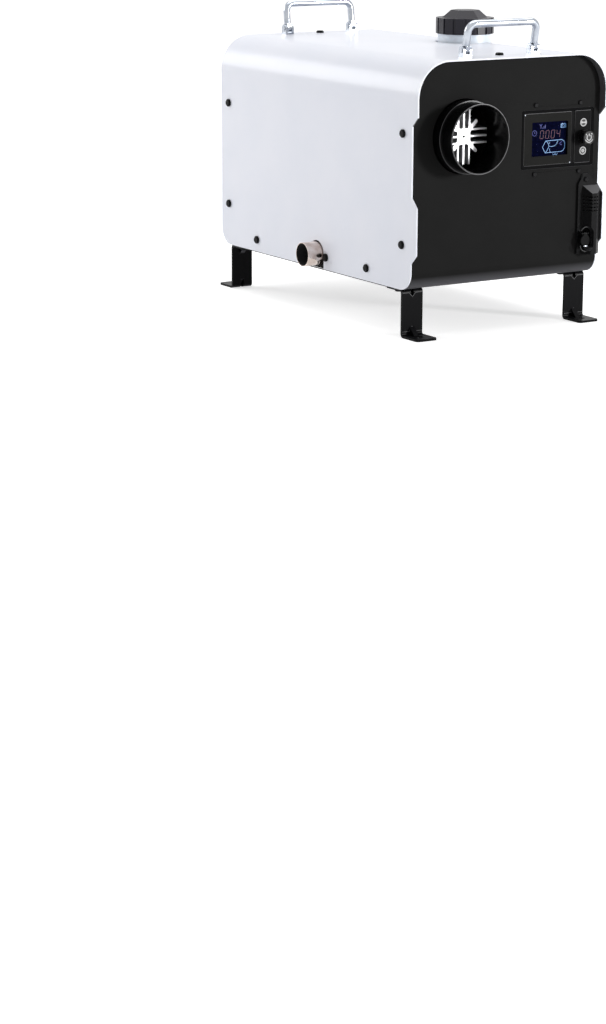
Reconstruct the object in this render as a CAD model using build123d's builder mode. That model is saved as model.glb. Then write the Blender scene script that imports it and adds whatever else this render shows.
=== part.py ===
"""Portable diesel air heater: hood, chassis, legs, handles, fuel tank, heater core and controller.

Millimetres. +X is to the right seen from the front, the front faces -Y and +Z is up. The floor is
z = 0 and the origin is the centre of the four foot holes. Heights named h are measured from the
underside of the enclosure, which stands leg_height above the floor.
"""

from build123d import *
import os
from math import cos, degrees, pi, radians, sin, sqrt

os.makedirs("parts", exist_ok=True)

# ---------------------------------------------------------------- driving dimensions
# Enclosure
case_width = 250.0
case_height = 245.0
case_length = 405.0
leg_height = 53.0
cover_sheet = 1.5
chassis_sheet = 1.5
cover_gap = 0.7  # air gap between the cover's inside and the chassis
top_corner_r = 39.0
bottom_corner_r = 20.0
flange_depth = 28.0  # return flanges of the front and rear walls
floor_flange = 23.0

# The two lips of the cover's front edge, as heights where each begins and ends
lip_depth = 10.0
upper_lip_bottom = case_height - 58.5
lower_lip_top = 91.0
lower_lip_bottom = 40.3
lip_slope = 9.8  # height taken by each slope between lip and panel

# Screws of the cover
screw_head_r = 4.5
screw_head_h = 2.6
screw_shank_r = 2.0
screw_clearance = 0.25
screw_shank_length = 6.5
column_inset = 17.5  # front and rear screw columns, from the ends
upper_screw_h = case_height - 77.0
lower_screw_h = 49.0
bottom_screw_h = 14.0
bottom_screw_inset = (86.5, 82.5)  # of the two outer screws, from the front and the rear
exhaust_screw_gap = 6.5  # from the exhaust pipe to the screw beside it

# Legs
leg_width = 27.0
leg_sheet = 2.5
leg_inset = 2.0  # from the cover's side
leg_web_y = case_length / 2 - 18.5  # outer face of the web
leg_flange = 30.0
foot_length = 30.0
leg_bend_r = 3.2
foot_hole_r = 3.5
foot_hole_inset = 16.0  # from the web's outer face
gusset = 9.0
gusset_width = 6.0
leg_bolt_r = 2.5
leg_bolt_spacing = 12.0
leg_bolt_inset = 18.0  # from the web's outer face
leg_bolt_length = 12.0
foot_toe_r = 4.0
nut_flat_r = 4.0
nut_height = 4.0

# Folding handles
handle_span = 90.0
handle_rod_r = 4.0
handle_bend_r = 9.0
handle_height = 39.5  # over the cover, when upright
handle_inset = 19.5  # from the cover's ends
front_handle_lean = 12.0  # degrees forward of upright at rest
rear_handle_lean = -8.0
pin_r = 2.0
pin_clearance = 0.06
tongue_half = 2.5  # half thickness of the rod's flattened ends
tongue_wall = 2.2  # round the pin
tongue_lift = 0.8  # over the lug's base
shoulder_gap = 0.5  # from the ears to the round of the rod
ear_thickness = 2.8
ear_wall = 2.6  # round the pin
ear_gap = 0.2  # each side of the rod's tongue
lug_base_h = 2.0
stud_r = 2.5
stud_length = 9.5
pin_head_r = 2.8
pin_head_h = 0.8

# Hot-air outlet and heater core; the core's axis runs along Y
duct_r = 37.5
duct_wall = 1.6
duct_reach = 31.0  # beyond the front wall
collar_step = 1.8
collar_reach = 11.0
duct_hole_clearance = 1.3
core_width = 112.0
core_height = 114.0
core_side_gap = 10.7  # from the cover's side
core_top_gap = 25.4  # from the cover's top
core_corner_r = 30.0
core_wall = 2.4
core_clearance = 0.3
foot_width = 64.0
hood_length = 26.0
hood_neck = 8.0  # behind the front wall, where the hood becomes round
motor_r = 30.0
motor_length = 46.0
motor_flange = 4.0
blower_r = 46.0
blower_length = 40.0
burner_flange = 4.0
rotor_shaft_r = 4.0
running_gap = 0.06
impeller_gap = 3.1  # to the core's case
impeller_setback = 32.0  # its middle, from the rear of the core
impeller_hub_r = 18.0
impeller_width = 24.0
impeller_blades = 9
blade_thickness = 2.0
blade_tilt = 38.0
chamber_r = 35.0
chamber_depth = 20.0
burner_wheel_gap = 2.5
burner_wheel_hub_r = 9.0
burner_wheel_width = 12.0
burner_wheel_vanes = 12
vane_thickness = 1.4
control_unit_width = 52.0
control_unit_height = 15.0
grille_gap = 0.3
grille_hole_r = 47.0
grille_r = 56.0
grille_sheet = 2.5
grille_bar = 2.0
grille_ring_pitch = 10.0
gasket_thickness = 3.0
gasket_margin = 8.0
shelf_sheet = 2.0
shelf_foot = 14.0
shelf_margin = 12.0

# Heat exchanger
fin_pitch = 7.3
fin_thickness = 1.9
star_gap = 5.9  # to the outlet's inside
arm_setback = 6.0  # arms end this far inside the fins
arm_root = 5.8
arm_tip = 3.6
hub_r = 7.3
star_depth = 46.0
body_r = 32.0
body_wall = 4.0
fin_reach = 47.0
port_clearance = 0.2
port_wall = 1.7
port_length = 25.0
flame_tube_gap = 4.0
flame_tube_wall = 1.2
flame_hole_r = 1.6
glow_plug_r = 2.5
glow_body_r = 4.5
glow_body_height = 12.0
glow_setback = 14.0  # from the exchanger's rear
hole_clearance = 0.5

# Exhaust
exhaust_r = 13.5
exhaust_wall = 1.2
exhaust_floor_gap = 0.2  # under the stop bead
exhaust_reach = 19.0  # beyond the cover
exhaust_bend = 40.0
exhaust_bead = 1.0  # height of the stop bead behind the case wall
exhaust_bead_width = 3.0
exhaust_y = -12.0
cover_slot_clearance = 1.5
flange_slot_clearance = 0.8
clamp_band = 1.2
clamp_width = 9.0

# Fuel tank, neck and cap
tank_core_gap = 11.3
tank_side_gap = 8.0
tank_front_gap = 62.0
tank_rear_gap = 122.0
tank_wall = 2.5
tank_corner_r = 12.0
tank_top_h = case_height - 14.0
tank_seat_gap = 0.3
neck_x = case_width / 2 - 50.0
neck_y = -10.5
neck_r = 31.0
neck_top_h = case_height + 9.2
neck_hole_clearance = 2.5
thread_step = 3.5
thread_height = 14.0
mouth_wall = 3.5
cap_gap = 0.3  # to the neck and the liner
cap_overhang = 2.0
cap_thread_clearance = 0.7
cap_ring_height = 17.8
cap_top_height = 8.5
cap_ribs = 16
cap_rib_share = 0.74  # of the ribs' pitch
cap_grip_turn = 30.0
cap_grip_share = (0.79, 0.49)  # of the cap's radius, at the grip's foot and at its top
liner_thickness = 2.0
strap_width = 18.0
strap_sheet = 1.2
strap_setback = 50.0  # from the tank's front
strap_foot = 12.0

# Controller
panel_width = 96.0
panel_height = 62.0
panel_x = case_width / 2 - 58.0
panel_h = case_height - 91.5
panel_clearance = 0.9
panel_corner_r = 2.0
panel_recess = 0.9
panel_depth = 24.0
bezel_flange_sheet = 2.0
bezel_side_margin = 4.0
bezel_end_margin = 13.0
window_size = (49.0, 37.5)
window_x = panel_x - 10.2
window_h = panel_h + 0.1
divider_x = panel_x + 23.0
control_x = panel_x + 35.0
button_r = 4.9
button_offset = 15.5  # above and below the knob
button_travel = 0.8
button_proud = 0.7
button_clearance = 0.2
knob_r = 8.0
knob_reach = 11.0
knob_travel = 0.6
knob_chamfer = 0.6
shaft_r = 3.0
panel_screw_x = (panel_x - 31.0, panel_x + 29.5)
panel_screw_margin = 6.5  # above and below the controller
panel_screw_r = 1.5
panel_screw_head_r = 2.7
panel_screw_head_h = 1.7
panel_screw_length = 6.0
bezel_wall = 2.0
bezel_front = 3.0
lens_thickness = 1.5
display_margin = 2.4
display_thickness = 3.0
board_setback = 15.6  # board's front, behind the bezel's face
board_thickness = 1.6

# Socket housing
inlet_left = case_width / 2 - 24.6
inlet_right = case_width / 2 - 3.5
inlet_face = (case_width / 2 - 18.7, case_width / 2 - 11.3)  # front facet, from left to right
inlet_bottom_h = 24.0
inlet_top_h = 101.5
inlet_depth = 14.0
inlet_right_depth = 8.0
inlet_slope = 9.7  # height taken by the sloped top
lug_x = case_width / 2 - 19.7
lug_height = 11.0
lug_sheet = 2.6
lug_tip = 3.0
inlet_rim = 4.9  # of the base plate, left of the housing
vent_pitch = 3.8
vent_size = (2.6, 1.6)
vent_rows = 5
vent_h = 80.0
vent_columns = 3
pocket_x = inlet_left + 1.6
pocket_r = 8.0
pocket_top_h = 55.0
pocket_bottom_h = 27.0
pocket_floor = 3.0
socket_h = 39.5
socket_r = 6.0
socket_bore_r = 4.4
socket_reach = 4.5
lid_overhang = 0.6
lid_thickness = 2.0
lid_pin_r = 0.8
lid_hinge_rise = 7.8
inlet_wall = 2.0

# Fuel line: tank outlet, filter and pump lie in one row behind the tank
fuel_h = 24.0
nipple_r = 2.5
nipple_length = 9.0
hose_gap = 0.1  # between a hose and its nipple
hose_wall = 1.9
hose_bend = 14.0
filter_r = 12.0
filter_length = 42.0
pump_r = 15.0
pump_length = 60.0
filter_inset = 17.0  # from the tank's right side
pump_inset = 55.0
pump_band = 4.0
silencer_r = 19.0
silencer_length = 58.0
silencer_h = 30.0
air_port_r = 10.5
air_pipe_wall = 1.5

# ---------------------------------------------------------------- places derived from them
front_y = -case_length / 2
rear_y = case_length / 2
lip_y = front_y - lip_depth
left_x = -case_width / 2
right_x = case_width / 2
cover_skin = cover_sheet + cover_gap
exhaust_h = chassis_sheet + exhaust_floor_gap + exhaust_bead + exhaust_r
leg_x = right_x - leg_inset - leg_width / 2
side_screws = [
    (front_y + column_inset, upper_screw_h),
    (front_y + column_inset, lower_screw_h),
    (rear_y - column_inset, upper_screw_h),
    (rear_y - column_inset, lower_screw_h),
]
side_screws += [
    (front_y + bottom_screw_inset[0], bottom_screw_h),
    (exhaust_y - exhaust_r - exhaust_screw_gap, bottom_screw_h),
    (rear_y - bottom_screw_inset[1], bottom_screw_h),
]
handle_y = (front_y + handle_inset, rear_y - handle_inset)
top_screws = [(0, y) for y in handle_y]
lug_places = [(x, y) for y in handle_y for x in (-handle_span / 2, handle_span / 2)]
leg_places = [(x, end) for end in (-1, 1) for x in (-leg_x, leg_x)]
leg_bolts = [
    (x + dx, end * (leg_web_y - leg_bolt_inset))
    for x, end in leg_places
    for dx in (-leg_bolt_spacing / 2, leg_bolt_spacing / 2)
]
panel_screws = [
    (x, panel_h + side * (panel_height / 2 + panel_screw_margin)) for x in panel_screw_x for side in (-1, 1)
]
lug_screw = (lug_x, inlet_top_h + 0.45 * lug_height)

# Handles
tongue_r = pin_r + tongue_wall
ear_r = pin_r + ear_wall
ear_x = tongue_half + ear_gap  # inner face of each ear, from the middle of the lug
lug_half = ear_x + ear_thickness
pivot_h = lug_base_h + tongue_r + tongue_lift
pivot_top_h = case_height + pivot_h

# Heater core, seen from the front
core_x = left_x + core_side_gap + core_width / 2
core_h = case_height - core_top_gap - core_height / 2
collar_r = duct_r + collar_step
duct_hole_r = collar_r + duct_hole_clearance
star_fin_reach = duct_r - duct_wall - star_gap
arm_reach = star_fin_reach - arm_setback
cavity_r = body_r - body_wall
flame_tube_r = cavity_r - flame_tube_gap
impeller_r = min(core_width, core_height) / 2 - core_wall - impeller_gap
burner_wheel_r = chamber_r - burner_wheel_gap
port_r = exhaust_r - exhaust_wall - port_clearance
port_bore_r = port_r - port_wall
air_pipe_r = air_port_r + port_clearance + air_pipe_wall
grille_screw_offset = (grille_r + grille_hole_r) / 2 * sqrt(0.5)
grille_screws = [
    (core_x + i * grille_screw_offset, core_h + j * grille_screw_offset)
    for i in (-1, 1)
    for j in (-1, 1)
]

# Heater core, from the outlet back to the intake
star_front_y = front_y + hole_clearance
body_front_y = star_front_y + star_depth
core_front_y = front_y + hood_length
core_rear_y = rear_y - chassis_sheet - grille_gap
fan_y = core_rear_y - impeller_setback
motor_rear_y = fan_y - impeller_width + 2.0
motor_front_y = motor_rear_y - motor_length
blower_front_y = motor_front_y - blower_length
exchanger_rear_y = blower_front_y - burner_flange
air_port_y = (blower_front_y + motor_front_y) / 2
foot_front_y = exhaust_y - 22.0
foot_rear_y = motor_front_y - 2.0
glow_y = exchanger_rear_y - glow_setback
core_bottom_h = core_h - core_height / 2
shelf_top_h = core_bottom_h - gasket_thickness
exhaust_top_h = shelf_top_h - shelf_sheet - 5.6
port_bottom_h = core_bottom_h - port_length
shelf_front_y = foot_front_y - 10.0
shelf_rear_y = foot_rear_y + 12.0
shelf_half = foot_width / 2 + shelf_margin
shelf_bolts = [
    (core_x + dx, y)
    for y in (shelf_front_y - shelf_foot / 2, shelf_rear_y + shelf_foot / 2)
    for dx in (-0.7 * shelf_half, 0.7 * shelf_half)
]
fuel_port = (core_x + 22.0, blower_front_y + 8.0)

# Fuel tank, neck and cap
tank_left_x = core_x + core_width / 2 + tank_core_gap
tank_right_x = right_x - tank_side_gap
tank_x = (tank_left_x + tank_right_x) / 2
tank_width = tank_right_x - tank_left_x
tank_front_y = front_y + tank_front_gap
tank_rear_y = rear_y - tank_rear_gap
tank_length = tank_rear_y - tank_front_y
tank_bottom_h = chassis_sheet + tank_seat_gap
neck_hole_r = neck_r + neck_hole_clearance
thread_r = neck_r - thread_step
mouth_r = thread_r - mouth_wall
cap_r = neck_r + cap_overhang
cap_bottom_h = neck_top_h + cap_gap
cap_ring_top_h = cap_bottom_h + cap_ring_height
liner_bottom_h = neck_top_h + thread_height + cap_gap

# Fuel line
hose_bore_r = nipple_r + hose_gap
hose_r = hose_bore_r + hose_wall
filter_x = tank_right_x - filter_inset
pump_x = tank_left_x + pump_inset - pump_r - pump_band


def at(x, y, h):
    """Point at height h over the enclosure's underside."""
    return (x, y, leg_height + h)


def face_plane(y):
    """Upright plane across the heater at this y, with its normal towards the front."""
    return Plane(origin=at(0, y, 0), x_dir=(1, 0, 0), z_dir=(0, -1, 0))


def side_plane(x):
    """Upright plane along the heater at this x, with its normal to the right."""
    return Plane(origin=at(x, 0, 0), x_dir=(0, 1, 0), z_dir=(1, 0, 0))


def level(h):
    """Horizontal plane at height h."""
    return Plane(origin=at(0, 0, h))


def seat(x, y, h, direction):
    """Location of a screw's seat, with its head towards the direction."""
    return Plane(origin=at(x, y, h), z_dir=direction).location


def save(name, builder):
    """Label a finished piece and write its file."""
    builder.part.label = name
    export_step(builder.part, f"parts/{name}.step")


def button_screw(head_r, head_h, shank_r, shank_length):
    """Button-head screw with its seat at the origin and its head above."""
    with BuildPart() as screw:
        with BuildSketch():
            Circle(head_r)
        extrude(amount=head_h)
        chamfer(screw.edges().group_by(Axis.Z)[-1], 0.4 * head_h)
        with BuildSketch():
            Circle(shank_r)
        extrude(amount=-shank_length)
    return screw.part


def hex_nut(flat_r, bore_r, height):
    """Hexagon nut standing on the origin."""
    with BuildPart() as nut:
        with BuildSketch():
            RegularPolygon(flat_r, 6, major_radius=False)
            Circle(bore_r, mode=Mode.SUBTRACT)
        extrude(amount=height)
    return nut.part


def bent_rod(points, radius, bend):
    """Round rod along straight runs joined by tangent arcs."""
    with BuildLine() as route:
        FilletPolyline(*points, radius=bend)
    with BuildPart() as rod:
        for run in route.edges():
            with BuildSketch(Plane(origin=run @ 0, z_dir=run % 0)):
                Circle(radius)
            if run.geom_type == GeomType.LINE:
                extrude(amount=run.length)
            else:
                pole = (run @ 0 - run.arc_center).cross(run % 0)
                turn = degrees(run.length / run.radius)
                revolve(axis=Axis(run.arc_center, pole), revolution_arc=turn)
    return rod.part


def bent_tube(points, outer_r, inner_r, bend):
    """Tube along straight runs joined by tangent arcs."""
    with BuildPart() as tube:
        add(bent_rod(points, outer_r, bend))
        add(bent_rod(points, inner_r, bend), mode=Mode.SUBTRACT)
    return tube.part


# ---------------------------------------------------------------- enclosure
def arch(y, inset):
    """The enclosure seen from the front, set in from its outside."""
    with BuildSketch(face_plane(y)) as view:
        Rectangle(case_width - 2 * inset, case_height - inset, align=(Align.CENTER, Align.MIN))
        fillet(view.vertices().group_by(Axis.Y)[-1], top_corner_r - inset)
    return view.sketch


def tray(inset):
    """The chassis seen from the side, set in from its outside, open at the top."""
    with BuildSketch(side_plane(0)) as view:
        with Locations((0, inset)):
            Rectangle(case_length - 2 * inset, case_height, align=(Align.CENTER, Align.MIN))
        fillet(view.vertices().group_by(Axis.Y)[0], bottom_corner_r - inset)
    return view.sketch


def case_block(end_inset, skin_inset):
    """Solid of the chassis' outside shape, set in at its ends and at its sides and top."""
    with BuildPart() as block:
        extrude(tray(end_inset), amount=case_width, both=True)
        extrude(arch(rear_y, skin_inset), amount=case_length, mode=Mode.INTERSECT)
    return block.part


def circles(plane, places, radius):
    """Round holes of one radius on a plane."""
    with BuildSketch(plane) as holes:
        with Locations(*places):
            Circle(radius)
    return holes.sketch


with BuildPart() as cover:
    extrude(arch(rear_y, 0), amount=case_length + lip_depth)
    extrude(arch(rear_y, cover_sheet), amount=case_length + lip_depth, mode=Mode.SUBTRACT)
    # the side view gives the wavy front edge and the rounded bottom corners
    with BuildSketch(side_plane(0)) as cover_side:
        with BuildLine():
            Polyline(
                (rear_y, 0),
                (rear_y, case_height),
                (lip_y, case_height),
                (lip_y, upper_lip_bottom),
                (front_y, upper_lip_bottom - lip_slope),
                (front_y, lower_lip_top + lip_slope),
                (lip_y, lower_lip_top),
                (lip_y, lower_lip_bottom),
                (front_y, lower_lip_bottom - lip_slope),
                (front_y, 0),
                close=True,
            )
        make_face()
        fillet(cover_side.vertices().group_by(Axis.Y)[0], bottom_corner_r)
    extrude(amount=case_width, both=True, mode=Mode.INTERSECT)
    hole_r = screw_shank_r + screw_clearance
    extrude(circles(side_plane(0), side_screws, hole_r), case_width, both=True, mode=Mode.SUBTRACT)
    extrude(circles(level(case_height), top_screws, hole_r), 5, both=True, mode=Mode.SUBTRACT)
    extrude(
        circles(level(case_height), lug_places, stud_r + screw_clearance),
        5,
        both=True,
        mode=Mode.SUBTRACT,
    )
    extrude(
        circles(level(case_height), [(neck_x, neck_y)], neck_hole_r),
        top_corner_r,
        both=True,
        mode=Mode.SUBTRACT,
    )
    # slot for the exhaust pipe, open at the bottom edge
    with BuildSketch(side_plane(left_x)):
        with Locations((exhaust_y, exhaust_h)):
            Circle(exhaust_r + cover_slot_clearance)
            Rectangle(2 * (exhaust_r + cover_slot_clearance), 2 * exhaust_h, align=(Align.CENTER, Align.MAX))
    extrude(amount=5, both=True, mode=Mode.SUBTRACT)
save("cover", cover)

with BuildPart() as chassis:
    add(case_block(0, cover_skin))
    add(case_block(chassis_sheet, cover_skin + chassis_sheet), mode=Mode.SUBTRACT)
    # leaves the return flanges round the front wall, the rear wall and the floor
    with Locations(at(0, 0, floor_flange)):
        Box(
            case_width,
            case_length - 2 * flange_depth,
            case_height,
            align=(Align.CENTER, Align.CENTER, Align.MIN),
            mode=Mode.SUBTRACT,
        )
    extrude(circles(side_plane(0), side_screws, hole_r), case_width, both=True, mode=Mode.SUBTRACT)
    extrude(circles(level(case_height), top_screws, hole_r), 9, both=True, mode=Mode.SUBTRACT)
    extrude(
        circles(level(case_height), lug_places, stud_r + screw_clearance),
        9,
        both=True,
        mode=Mode.SUBTRACT,
    )
    # front wall: outlet, controller and the screws of the controller and the socket housing
    with BuildSketch(face_plane(front_y)):
        with Locations((core_x, core_h)):
            Circle(duct_hole_r)
        with Locations((panel_x, panel_h)):
            RectangleRounded(
                panel_width + 2 * panel_clearance, panel_height + 2 * panel_clearance, panel_corner_r
            )
        with Locations(*panel_screws, lug_screw):
            Circle(panel_screw_r + screw_clearance)
    extrude(amount=2 * chassis_sheet, both=True, mode=Mode.SUBTRACT)
    # rear wall: opening behind the intake grille
    with BuildSketch(face_plane(rear_y)):
        with Locations((core_x, core_h)):
            Circle(grille_hole_r)
        with Locations(*grille_screws):
            Circle(panel_screw_r + screw_clearance)
    extrude(amount=2 * chassis_sheet, both=True, mode=Mode.SUBTRACT)
    # floor: bolt holes of the legs and of the heater shelf
    extrude(circles(level(0), leg_bolts, leg_bolt_r + screw_clearance), 3, both=True, mode=Mode.SUBTRACT)
    extrude(circles(level(0), shelf_bolts, leg_bolt_r + screw_clearance), 3, both=True, mode=Mode.SUBTRACT)
    # left flange: way out for the exhaust pipe
    with BuildSketch(side_plane(left_x)):
        with Locations((exhaust_y, exhaust_h)):
            Circle(exhaust_r + flange_slot_clearance)
            Rectangle(2 * (exhaust_r + flange_slot_clearance), floor_flange, align=(Align.CENTER, Align.MIN))
    extrude(amount=3 * cover_skin, both=True, mode=Mode.SUBTRACT)
save("chassis", chassis)

# ---------------------------------------------------------------- screws of the enclosure
cover_screw = button_screw(screw_head_r, screw_head_h, screw_shank_r, screw_shank_length)
cover_screw_seats = [seat(left_x, y, h, (-1, 0, 0)) for y, h in side_screws]
cover_screw_seats += [seat(right_x, y, h, (1, 0, 0)) for y, h in side_screws]
cover_screw_seats += [seat(x, y, case_height, (0, 0, 1)) for x, y in top_screws]
with BuildPart() as cover_screws:
    with Locations(*cover_screw_seats):
        add(cover_screw)
save("cover_screws", cover_screws)


# ---------------------------------------------------------------- legs
def leg(x, end):
    """Z-shaped leg: flange under the floor, web and foot; end is -1 at the front, 1 at the rear."""
    web_y = end * (leg_web_y - leg_sheet / 2)
    top_h = -leg_sheet / 2
    foot_h = leg_sheet / 2 - leg_height
    with BuildPart() as bracket:
        with BuildSketch(side_plane(x)):
            with BuildLine():
                FilletPolyline(
                    (end * (leg_web_y - leg_flange), top_h),
                    (web_y, top_h),
                    (web_y, foot_h),
                    (end * (leg_web_y + foot_length), foot_h),
                    radius=leg_bend_r,
                )
            trace(line_width=leg_sheet)
        extrude(amount=leg_width / 2, both=True)
        # pressed darts that stiffen both bends: a rib inside, a notch outside
        for bend_y, bend_h, turn in ((leg_web_y - leg_sheet, -leg_sheet, -1), (leg_web_y, foot_h, 1)):
            inner_y = end * bend_y
            inner_h = bend_h + (leg_sheet / 2 if turn > 0 else 0)
            with BuildSketch(side_plane(x)):
                with BuildLine():
                    Polyline(
                        (inner_y, inner_h),
                        (inner_y + end * turn * gusset, inner_h),
                        (inner_y, inner_h + turn * gusset),
                        close=True,
                    )
                make_face()
            extrude(amount=gusset_width / 2, both=True)
            outer_y = inner_y - end * turn * leg_sheet
            outer_h = inner_h - turn * leg_sheet
            notch = gusset + (2 - sqrt(2)) * leg_sheet
            with BuildSketch(side_plane(x)):
                with BuildLine():
                    Polyline(
                        (outer_y, outer_h),
                        (outer_y + end * turn * notch, outer_h),
                        (outer_y, outer_h + turn * notch),
                        close=True,
                    )
                make_face()
            extrude(amount=(gusset_width - leg_sheet) / 2, both=True, mode=Mode.SUBTRACT)
        # round the toe, drill the foot and the flange
        toe = bracket.edges().filter_by(Axis.Z).sort_by(Axis.Y)
        fillet(toe[-2:] if end > 0 else toe[:2], foot_toe_r)
        foot_hole = [(x, end * (leg_web_y + foot_hole_inset))]
        extrude(circles(level(-leg_height), foot_hole, foot_hole_r), 9, mode=Mode.SUBTRACT)
        bolt_holes = [place for place in leg_bolts if abs(place[0] - x) < leg_width]
        extrude(
            circles(level(0), bolt_holes, leg_bolt_r + screw_clearance), 9, both=True, mode=Mode.SUBTRACT
        )
    return bracket


for name, (x, end) in zip(("front_left", "front_right", "rear_left", "rear_right"), leg_places):
    save(f"leg_{name}", leg(x, end))

leg_bolt = button_screw(1.8 * leg_bolt_r, leg_bolt_r, leg_bolt_r, leg_bolt_length)
leg_nut = hex_nut(nut_flat_r, leg_bolt_r, nut_height)
with BuildPart() as leg_screws:
    with Locations(*[seat(x, y, -leg_sheet, (0, 0, -1)) for x, y in leg_bolts]):
        add(leg_bolt)
save("leg_screws", leg_screws)

with BuildPart() as leg_nuts:
    with Locations(*[seat(x, y, chassis_sheet, (0, 0, 1)) for x, y in leg_bolts]):
        add(leg_nut)
save("leg_nuts", leg_nuts)


# ---------------------------------------------------------------- folding handles
def handle(y, lean):
    """Bent rod with flattened, pierced ends, leaning towards the front by an angle."""
    shoulder = ear_r + shoulder_gap
    bar = handle_height - handle_rod_r - pivot_h
    forward, up = sin(radians(lean)), cos(radians(lean))
    route = [
        at(side * handle_span / 2, y - reach * forward, pivot_top_h + reach * up)
        for side, reach in ((-1, shoulder), (-1, bar), (1, bar), (1, shoulder))
    ]
    with BuildPart() as rod:
        add(bent_rod(route, handle_rod_r, handle_bend_r))
        for x in (-handle_span / 2, handle_span / 2):
            with BuildSketch(side_plane(x)):
                with Locations((y, pivot_top_h)):
                    Circle(tongue_r)
                    Rectangle(2 * tongue_r, shoulder, rotation=lean, align=(Align.CENTER, Align.MIN))
                    Circle(pin_r + pin_clearance, mode=Mode.SUBTRACT)
            extrude(amount=tongue_half, both=True)
    return rod


save("handle_front", handle(handle_y[0], front_handle_lean))
save("handle_rear", handle(handle_y[1], rear_handle_lean))

with BuildPart() as handle_lugs:
    for x, y in lug_places:
        with BuildSketch(side_plane(x)):
            with Locations((y, pivot_top_h)):
                Circle(ear_r)
                Rectangle(2 * ear_r, pivot_h, align=(Align.CENTER, Align.MAX))
                Circle(pin_r + pin_clearance, mode=Mode.SUBTRACT)
        extrude(amount=lug_half, both=True)
        with Locations(at(x, y, case_height + lug_base_h)):
            Box(
                2 * ear_x,
                4 * ear_r,
                2 * pivot_h,
                align=(Align.CENTER, Align.CENTER, Align.MIN),
                mode=Mode.SUBTRACT,
            )
        with BuildSketch(level(case_height)):
            with Locations((x, y)):
                Circle(stud_r)
        extrude(amount=-stud_length)
save("handle_lugs", handle_lugs)

with BuildPart() as handle_pins:
    for x, y in lug_places:
        with BuildSketch(side_plane(x)):
            with Locations((y, pivot_top_h)):
                Circle(pin_r)
        extrude(amount=lug_half + pin_head_h, both=True)
        for side in (-1, 1):
            with BuildSketch(side_plane(x + side * lug_half)):
                with Locations((y, pivot_top_h)):
                    Circle(pin_head_r)
            extrude(amount=side * pin_head_h)
save("handle_pins", handle_pins)

flange_under_h = case_height - cover_skin - chassis_sheet
with BuildPart() as handle_nuts:
    with Locations(*[seat(x, y, flange_under_h - nut_height, (0, 0, 1)) for x, y in lug_places]):
        add(hex_nut(nut_flat_r, stud_r, nut_height))
save("handle_nuts", handle_nuts)

# ---------------------------------------------------------------- hot-air outlet
with BuildPart() as duct_outlet:
    # hood from the core's rounded-square mouth to the round collar, then the duct spigot
    with BuildSketch(face_plane(core_front_y)):
        with Locations((core_x, core_h)):
            RectangleRounded(core_width, core_height, core_corner_r)
    with BuildSketch(face_plane(front_y + hood_neck)):
        with Locations((core_x, core_h)):
            Circle(collar_r)
    loft()
    with BuildSketch(face_plane(front_y + hood_neck)):
        with Locations((core_x, core_h)):
            Circle(collar_r)
    extrude(amount=hood_neck + collar_reach)
    with BuildSketch(face_plane(front_y - collar_reach)):
        with Locations((core_x, core_h)):
            Circle(duct_r)
    extrude(amount=duct_reach - collar_reach)
    with BuildSketch(face_plane(core_front_y)):
        with Locations((core_x, core_h)):
            RectangleRounded(
                core_width - 2 * core_wall, core_height - 2 * core_wall, core_corner_r - core_wall
            )
    with BuildSketch(face_plane(front_y + hood_neck)):
        with Locations((core_x, core_h)):
            Circle(duct_r - duct_wall)
    loft(mode=Mode.SUBTRACT)
    with BuildSketch(face_plane(front_y + hood_neck)):
        with Locations((core_x, core_h)):
            Circle(duct_r - duct_wall)
    extrude(amount=hood_neck + duct_reach, mode=Mode.SUBTRACT)
save("duct_outlet", duct_outlet)

# ---------------------------------------------------------------- heater core
def core_section(y, inset):
    """Rounded square of the heater core's case."""
    with BuildSketch(face_plane(y)) as section:
        with Locations((core_x, core_h)):
            RectangleRounded(
                core_width - 2 * inset, core_height - 2 * inset, max(core_corner_r - inset, 1)
            )
    return section.sketch


def core_disc(y, radius, bore=0):
    """Disc or ring about the heater core's axis."""
    with BuildSketch(face_plane(y)) as disc:
        with Locations((core_x, core_h)):
            Circle(radius)
            if bore:
                Circle(bore, mode=Mode.SUBTRACT)
    return disc.sketch


with BuildPart() as core_case:
    extrude(core_section(core_rear_y, 0), amount=core_rear_y - core_front_y)
    extrude(core_section(core_rear_y, core_wall), amount=core_rear_y - core_front_y, mode=Mode.SUBTRACT)
    # way through for the castings' feet
    with Locations(at(core_x, (foot_front_y + foot_rear_y) / 2, core_h)):
        Box(
            foot_width + 2 * core_clearance,
            foot_rear_y - foot_front_y + 2 * core_clearance,
            core_height,
            align=(Align.CENTER, Align.CENTER, Align.MAX),
            mode=Mode.SUBTRACT,
        )

with BuildPart() as core_case_upper:
    add(core_case.part)
    split(bisect_by=level(core_h), keep=Keep.TOP)
save("core_case_upper", core_case_upper)

with BuildPart() as core_case_lower:
    add(core_case.part)
    split(bisect_by=level(core_h), keep=Keep.BOTTOM)
save("core_case_lower", core_case_lower)



# finned casting: closed body with longitudinal fins that run on into a star at the outlet
def fins(y, offsets, start, reach):
    """Parallel fins in four sectors round the core's axis."""
    with BuildSketch(face_plane(y)) as section:
        with Locations((core_x, core_h)):
            with PolarLocations(0, 4):
                for offset in offsets:
                    with Locations(((start(offset) + reach) / 2, offset)):
                        Rectangle(reach - start(offset), fin_thickness)
    return section.sketch


def arms(y, reach):
    """Four tapered diagonal arms with round ends, and the hub between them."""
    with BuildSketch(face_plane(y)) as section:
        with Locations((core_x, core_h)):
            Circle(hub_r)
            with PolarLocations(0, 4, start_angle=45):
                Polygon(
                    (0, -arm_root / 2),
                    (reach - arm_tip / 2, -arm_tip / 2),
                    (reach - arm_tip / 2, arm_tip / 2),
                    (0, arm_root / 2),
                    align=None,
                )
                with Locations((reach - arm_tip / 2, 0)):
                    Circle(arm_tip / 2)
    return section.sketch


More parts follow.
